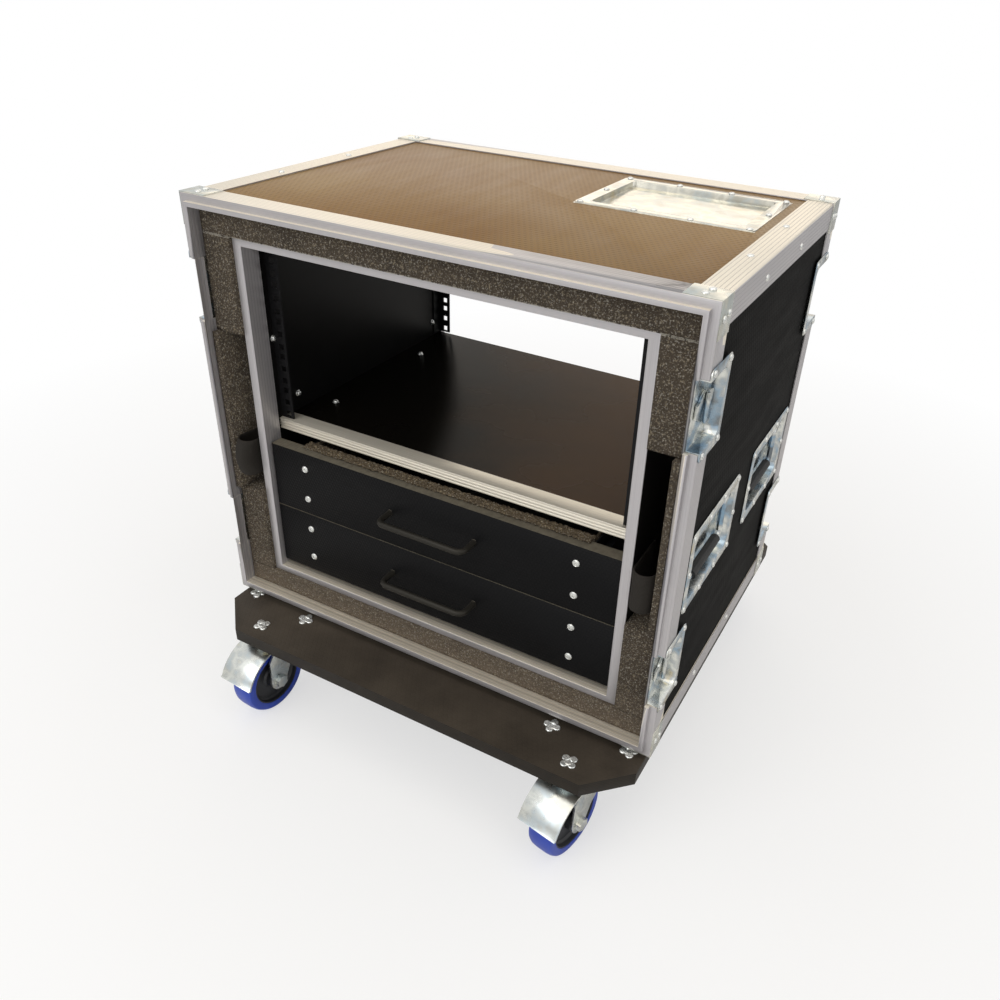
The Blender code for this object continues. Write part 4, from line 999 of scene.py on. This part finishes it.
def addFoam():
    # one block over and one under the sleeve, and three on each side of it
    size = foamBlocks
    front, back = size["front"] + size["endGap"], size["back"] - size["endGap"]
    pieces = {
        "foamTop": (-size["outer"], size["sleeveHigh"], size["outer"], size["ceiling"]),
        "foamFloor": (-size["outer"], size["floor"], size["outer"], size["sleeveLow"]),
    }
    for side, sign in (("Left", -1), ("Right", 1)):
        spans = {
            "Lower": (size["inner"], size["sleeveLow"], size["outer"], size["lower"]),
            "Upper": (size["inner"], size["upper"], size["outer"], size["sleeveHigh"]),
            "Layer": (size["layerNear"], size["lower"], size["outer"], size["upper"]),
        }
        for part, (near, bottom, far, top) in spans.items():
            x = sorted((sign * near, sign * far))
            pieces[f"foam{side}{part}"] = (x[0], bottom, x[1], top)
    for seed, (name, (x0, z0, x1, z1)) in enumerate(pieces.items(), 11):
        gap = size["gap"]
        start = size["layerFront"] if name.endswith("Layer") else front
        piece = foamBlock((x0 + gap, start, z0 + gap), (x1 - gap, back, z1 - gap), seed)
        if name.endswith("Layer"):
            cutPockets(piece, -1 if x0 < 0 else 1)
        settle(piece, name, finishes["foam"], "case")
        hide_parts("foam_lining")


addFoam()
print("foam cut")


strap = {
    "low": 0.3395,
    "high": 0.3885,
    "reach": 0.0122,
    "middle": 0.2673,
    "turn": -0.2232,
    "tail": -0.1640,
    "thickness": 0.0026,
    "sag": 0.0022,
    "legSteps": 6,
    "turnSteps": 14,
    "rows": 10,
    "loopDepth": 0.012,
    "flare": {"Left": 0.0075, "Right": 0.0012},
}


def strapPath():
    # along the sleeve's wall, round the loop and back beside it
    reach, turn, steps = strap["reach"], strap["turn"], strap["legSteps"]
    leg = strap["tail"] - turn
    points = [(-reach, turn + leg * (1 - step / steps)) for step in range(steps)]
    for step in range(strap["turnSteps"] + 1):
        angle = math.pi + math.pi * step / strap["turnSteps"]
        points.append((reach * math.cos(angle), turn + reach * math.sin(angle)))
    for step in range(1, steps + 1):
        share = step / steps
        sag = strap["sag"] * math.sin(math.pi * share)
        points.append((reach - sag, turn + leg * share))
    return points


def addStrap(side, sign):
    # the path is drawn out point by point, then raised row by row
    points = [(sign * (strap["middle"] + x), y) for x, y in strapPath()]
    tall, rows = strap["high"] - strap["low"], strap["rows"]
    deselectAll()
    bpy.ops.mesh.primitive_plane_add(size=1, location=(0, 0, 0))
    piece = bpy.context.object
    bpy.ops.object.mode_set(mode="EDIT")
    pickPoints(piece, lambda co: co.x > 0)
    bpy.ops.mesh.delete(type="VERT")
    bpy.ops.mesh.select_all(action="SELECT")
    bpy.ops.mesh.merge(type="CENTER")
    x, y = points[0]
    bpy.ops.transform.translate(value=(x + 0.5, y, strap["low"]))
    bpy.ops.mesh.select_mode(type="VERT")
    for nextX, nextY in points[1:]:
        bpy.ops.mesh.extrude_region_move(
            TRANSFORM_OT_translate={"value": (nextX - x, nextY - y, 0)}
        )
        x, y = nextX, nextY
    bpy.ops.mesh.select_all(action="SELECT")
    for row in range(rows):
        bpy.ops.mesh.extrude_region_move(TRANSFORM_OT_translate={"value": (0, 0, tall / rows)})
    loop = strap["turn"] + strap["loopDepth"]
    for row in range(rows + 1):
        level = strap["low"] + tall * row / rows
        pickPoints(piece, lambda co: co.y < loop and abs(co.z - level) < 0.001)
        lean = strap["flare"][side] * math.sin(math.pi * (0.15 + 0.75 * row / rows))
        bpy.ops.transform.translate(value=(sign * lean, -0.7 * lean, -0.3 * lean))
    bpy.ops.mesh.select_all(action="SELECT")
    bpy.ops.mesh.normals_make_consistent(inside=False)
    bpy.ops.object.mode_set(mode="OBJECT")
    applyModifier(piece, "SOLIDIFY", thickness=strap["thickness"], offset=0.0)
    applyModifier(piece, "SUBSURF", levels=1, render_levels=1)
    smooth(piece, 60)
    settle(piece, f"strap{side}", finishes["webbing"], "case")
    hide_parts(f"lift_strap_{side.lower()}")


addStrap("Left", -1)
addStrap("Right", 1)
print("straps looped")


casters = {
    "headings": {
        "front_left": -4, "front_right": -10, "rear_left": 170, "rear_right": 176,
    },
    "tyre": [  # radius and height of one half
        (0.0378, 0.0165), (0.0440, 0.0172), (0.0476, 0.0158), (0.0494, 0.0120), (0.0500, 0.0060),
    ],
    "hub": [
        (0.0056, 0.0193), (0.0130, 0.0193), (0.0140, 0.0183), (0.0142, 0.0110), (0.0170, 0.0085),
        (0.0320, 0.0085), (0.0352, 0.0110), (0.0362, 0.0158), (0.0382, 0.0160),
    ],
    "segments": 64,
}


def wheelPart(half, centre, heading):
    # turned on the z axis, the same on both sides, then laid on the caster's axle
    profile = [(radius, -height) for radius, height in half] + half[::-1]
    piece = lathe(profile, casters["segments"])
    turn = Matrix.Rotation(math.radians(heading), 4, "Z")
    lay = Matrix.Rotation(math.radians(90), 4, "Y")
    piece.matrix_world = Matrix.Translation(centre) @ turn @ lay
    return piece


def openRing(piece):
    # the two flat ends go, and an inner wall joins their rims
    choose(piece)
    bpy.ops.object.mode_set(mode="EDIT")
    pickFaces(piece, lambda face: len(face.verts) > 8)
    bpy.ops.mesh.delete(type="ONLY_FACE")
    bpy.ops.mesh.select_mode(type="EDGE")
    bpy.ops.mesh.select_all(action="DESELECT")
    bpy.ops.mesh.select_non_manifold()
    bpy.ops.mesh.bridge_edge_loops()
    bpy.ops.mesh.select_all(action="SELECT")
    bpy.ops.mesh.normals_make_consistent(inside=False)
    bpy.ops.object.mode_set(mode="OBJECT")


def addWheel(tag, heading):
    low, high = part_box(f"caster_wheel_{tag}")
    centre = (low + high) / 2
    tyre = wheelPart(casters["tyre"], centre, heading)
    openRing(tyre)
    hub = wheelPart(casters["hub"], centre, heading)
    for name, piece, degrees in (("tyre", tyre, 40), ("hub", hub, 35)):
        smooth(piece, degrees)
        settle(piece, f"{name}_{tag}", finishes[name], f"wheel_{tag}")
        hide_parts(f"caster_wheel_{tag}")


for tag, heading in casters["headings"].items():
    addWheel(tag, heading)
print("wheels turned")


rivets = {
    "profile": [
        (0.0037, 0.0), (0.0037, 0.0004), (0.0033, 0.0011), (0.0023, 0.0017), (0.0010, 0.0020),
    ],
    "segments": 12,
    "edgeRows": (-0.0985, 0.0285),
    "edgeAcross": 0.2875,
    "edgeDrop": 0.0175,
    "braceSpots": ((0.018, 0.0095), (0.016, 0.0225)),
    "braceFace": 0.0012,
    "labelHalf": (0.0975, 0.0715),
    "labelFace": 0.6824,
    "handleHalf": (0.0722, 0.0452),
    "latchSpots": ((0.0525, 0.0405), (0.0525, -0.0405), (0.0085, 0.0405), (0.0085, -0.0405)),
}


def addRivets():
    # round heads on the edge angles, braces, label dish, handle dishes and latch dishes
    size = rivets
    top, bottom, half, handleLevel = case["top"], case["bottom"], case["half"], case["handleLevel"]
    up = (0, 0, 1)
    topPlaces, sidePlaces = [], []
    for side in (-1, 1):
        out = (side, 0, 0)
        for row in size["edgeRows"]:
            topPlaces.append(((side * size["edgeAcross"], row, top), up))
            for level in (top - size["edgeDrop"], bottom + size["edgeDrop"]):
                sidePlaces.append(((side * half, row, level), out))
        for plane, way in ((case["front"], 1), (case["back"], -1)):
            for inset, depth in size["braceSpots"]:
                row = plane + way * depth
                topPlaces.append(((side * (half - inset), row, top + size["braceFace"]), up))
                for level in (top - inset, bottom + inset):
                    sidePlaces.append(((side * (half + size["braceFace"]), row, level), out))
    labelX, labelY = case["label"]
    halfX, halfY = size["labelHalf"]
    spots = [(x, y) for x in (-halfX, -halfX / 3, halfX / 3, halfX) for y in (-halfY, halfY)]
    for x, y in spots + [(-halfX, 0), (halfX, 0)]:
        topPlaces.append(((labelX + x, labelY + y, size["labelFace"]), up))
    halfY, halfZ = size["handleHalf"]
    spots = [(y, z) for y in (-halfY, -halfY / 3, halfY / 3, halfY) for z in (-halfZ, halfZ)]
    ends = (("front", case["front"], 1), ("rear", case["back"], -1))
    sides = ((-1, "left"), (1, "right"))
    for (end, plane, way), row in zip(ends, case["handleRows"]):
        for side, name in sides:
            low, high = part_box(f"handle_dish_{end}_{name}")
            face = high.x if side > 0 else low.x
            for y, z in spots + [(-halfY, 0), (halfY, 0)]:
                sidePlaces.append(((face, row + y, handleLevel + z), (side, 0, 0)))
    for end, plane, way in ends:
        for side, name in sides:
            for level, height in zip(("lower", "upper"), case["latchLevels"]):
                low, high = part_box(f"latch_{end}_{name}_{level}_dish")
                face = high.x if side > 0 else low.x
                for depth, rise in size["latchSpots"]:
                    place = (face, plane + way * depth, height + rise)
                    sidePlaces.append((place, (side, 0, 0)))
    for name, places in (("topRivets", topPlaces), ("sideRivets", sidePlaces)):
        settleHeads(turnedHeads(size["profile"], size["segments"], places), name)


addRivets()

screws = {
    "profile": [
        (0.0046, 0.0), (0.0046, 0.0005), (0.0041, 0.0013), (0.0033, 0.0016), (0.0028, 0.0013),
        (0.0020, 0.0017), (0.0014, 0.0017), (0.0012, 0.0006),
    ],
    "segments": 20,
    "across": 0.1877,
    "rises": (0.0222, 0.0655),
}


def addDrawerScrews():
    # cross-head screws, two at each end of both drawer fronts
    size = screws
    for level, bottom in case["drawers"].items():
        places = [
            ((side * size["across"], case["drawerFace"], bottom + rise), (0, -1, 0))
            for side in (-1, 1) for rise in size["rises"]
        ]
        piece = turnedHeads(size["profile"], size["segments"], places)
        settleHeads(piece, f"{level}DrawerScrews", f"{level}_drawer")


addDrawerScrews()

bolts = {
    "profile": [
        (0.0042, 0.0), (0.0042, 0.0006), (0.0036, 0.0010), (0.0034, 0.0024), (0.0024, 0.0034),
        (0.0010, 0.0037),
    ],
    "segments": 14,
    "wall": 0.2441,
    "wallSpots": ((-0.1889, 0.5126), (-0.1566, 0.4276), (0.1493, 0.4279), (0.1493, 0.5126)),
    "shelfAcross": 0.2162,
    "shelfRows": (-0.1181, 0.0764),
    "shelfTop": 0.4066,
}


def addBolts():
    # pan heads inside the sleeve, the same on both walls and both ends of the shelf
    size = bolts
    places = [
        ((side * size["wall"], row, level), (-side, 0, 0))
        for side in (-1, 1) for row, level in size["wallSpots"]
    ]
    places += [
        ((side * size["shelfAcross"], row, size["shelfTop"]), (0, 0, 1))
        for side in (-1, 1) for row in size["shelfRows"]
    ]
    settleHeads(turnedHeads(size["profile"], size["segments"], places), "sleeveBolts")


addBolts()

clawNuts = {
    "lobe": [(0.0046, 0.0), (0.0046, 0.0010), (0.0038, 0.0018), (0.0016, 0.0020)],
    "middle": [
        (0.0066, 0.0), (0.0066, 0.0014), (0.0056, 0.0022), (0.0040, 0.0022), (0.0036, 0.0010),
        (0.0010, 0.0009),
    ],
    "lobeSegments": 10,
    "middleSegments": 16,
    "spread": 0.0064,
    "turns": (25, 56, 87),
    "spots": ((0.2815, 0.23725), (0.2289, 0.28685), (0.1872, 0.24755)),
    "top": 0.143,
}


def addClawNuts():
    # four-clawed tee nuts that hold the casters' bolts
    size = clawNuts
    lobes, middles = [], []
    for sideX in (-1, 1):
        for sideY in (-1, 1):
            for turn, (x, y) in zip(size["turns"], size["spots"]):
                centre = Vector((sideX * x, sideY * y, size["top"]))
                middles.append((centre, (0, 0, 1)))
                for quarter in range(4):
                    angle = math.radians(90 * quarter + turn)
                    offset = Vector((math.cos(angle), math.sin(angle), 0)) * size["spread"]
                    lobes.append((centre + offset, (0, 0, 1)))
    settleHeads(joinAll([
        turnedHeads(size["lobe"], size["lobeSegments"], lobes),
        turnedHeads(size["middle"], size["middleSegments"], middles),
    ]), "clawNuts")


addClawNuts()

liners = {
    "front": -0.1989,
    "back": 0.1310,
    "half": 0.1978,
    "thick": 0.0052,
    "low": 0.014,
    "rise": 0.0895,
    "sideDrop": 0.006,
    "lipDepths": (-0.0085, 0.006),
    "lipRises": (0.0884, 0.0910),
    "cell": 0.0015,
    "rough": 0.0011,
    "fill": 0.95,
}


def addLiners():
    # soft lining round the inside of both drawers, turned over the upper drawer's front
    size = liners
    front, back, half, thick = size["front"], size["back"], size["half"], size["thick"]
    for level, bottom in case["drawers"].items():
        low, high = bottom + size["low"], bottom + size["rise"]
        sideHigh = high - size["sideDrop"]
        spans = {
            "Front": ((-half, front, low), (half, front + thick, high)),
            "Left": ((-half, front + thick, low), (-half + thick, back, sideHigh)),
            "Right": ((half - thick, front + thick, low), (half, back, sideHigh)),
        }
        if level == "upper":
            (near, far), (under, over) = size["lipDepths"], size["lipRises"]
            spans["Lip"] = (-half, front + near, bottom + under), (half, front + far, bottom + over)
        for seed, (side, (start, end)) in enumerate(spans.items(), 41):
            piece = block(start, end)
            applyModifier(piece, "REMESH", mode="VOXEL", voxel_size=size["cell"])
            editAll(piece)
            bpy.ops.transform.vertex_random(
                offset=size["rough"], uniform=0.2, normal=0.8, seed=seed
            )
            bpy.ops.object.mode_set(mode="OBJECT")
            smooth(piece, 180)
            settle(piece, f"{level}Liner{side}", finishes["liner"], f"{level}_drawer")


addLiners()
print("small pieces placed")


studio = {
    "world": 0.5,
    "floor": tone(250, 250, 249),
    "floorHigh": tone(255, 255, 255),
    "floorSize": 30,
    "glow": {"start": 0.6, "near": 0.6, "far": 1.5},
    "aim": (0.0, 0.0, 0.45),
    "lamps": {  # place, size, power and tint
        "top": ((0.3, -0.4, 2.3), (2.4, 2.4), 19, (1.0, 0.92, 0.80)),
        "front": ((-0.6, -2.2, 1.9), (1.8, 1.4), 19, (0.97, 0.98, 1.0)),
        "right": ((2.4, -0.6, 1.2), (1.4, 1.4), 3, (0.93, 0.95, 1.0)),
        "warm": ((-1.1, 2.3, 1.2), (2.6, 1.2), 7, (1.0, 0.80, 0.55)),
    },
}


def addLamp(name, place, size, power, tint):
    data = bpy.data.lights.new(name + "Softbox", "AREA")
    data.shape = "RECTANGLE"
    data.size, data.size_y = size
    data.energy = power
    data.color = tint
    lamp = bpy.data.objects.new(name + "Softbox", data)
    lamp.location = place
    aim = Vector(studio["aim"]) - Vector(place)
    lamp.rotation_euler = aim.to_track_quat("-Z", "Y").to_euler()
    bpy.context.scene.collection.objects.link(lamp)


def addWorld():
    world = bpy.data.worlds.new("studio")
    world.use_nodes = True
    tree = world.node_tree
    tree.nodes.clear()
    rays = addNode(tree, "ShaderNodeLightPath").socket.node
    seen = Wire(tree, rays.outputs["Is Camera Ray"])
    for ray in ("Is Glossy Ray", "Is Transmission Ray"):
        seen = seen.most(Wire(tree, rays.outputs[ray]))
    strength = seen * (1.0 - studio["world"]) + studio["world"]
    values = {"Color": (1, 1, 1, 1), "Strength": strength}
    background = addNode(tree, "ShaderNodeBackground", None, values)
    addNode(tree, "ShaderNodeOutputWorld", None, {"Surface": background})
    bpy.context.scene.world = world


def addFloor():
    deselectAll()
    bpy.ops.mesh.primitive_plane_add(size=studio["floorSize"], location=(0, 0, 0))
    floor = bpy.context.object
    floor.name = "studioFloor"
    finish = Finish("paleFloor", {"Roughness": 0.9, "Specular IOR Level": 0.1})
    cloud = finish.noise(3.0) * 0.1
    finish.set("Base Color", finish.mix(cloud, studio["floor"], studio["floorHigh"]))
    # seen by the camera, the floor brightens to white away from the case
    start, near, far = studio["glow"].values()
    reach = (finish.x * finish.x + finish.y * finish.y) ** 0.5
    share = ((reach - near) / (far - near)).limited() * (1 - start) + start
    seen = Wire(finish.tree, finish.add("ShaderNodeLightPath").socket.node.outputs["Is Camera Ray"])
    white = finish.add("ShaderNodeEmission", None, {"Color": (1, 1, 1, 1), "Strength": 1.0})
    surface = Wire(finish.tree, finish.shader.outputs[0])
    joined = finish.add("ShaderNodeMixShader", None, {0: share * seen, 1: surface, 2: white})
    output = next(node for node in finish.tree.nodes if node.type == "OUTPUT_MATERIAL")
    finish.tree.links.new(joined.socket, output.inputs["Surface"])
    floor.data.materials.append(finish.material)


for name, facts in studio["lamps"].items():
    addLamp(name, *facts)
addWorld()
addFloor()
bpy.context.scene.view_settings.view_transform = "Standard"
print("studio lit")
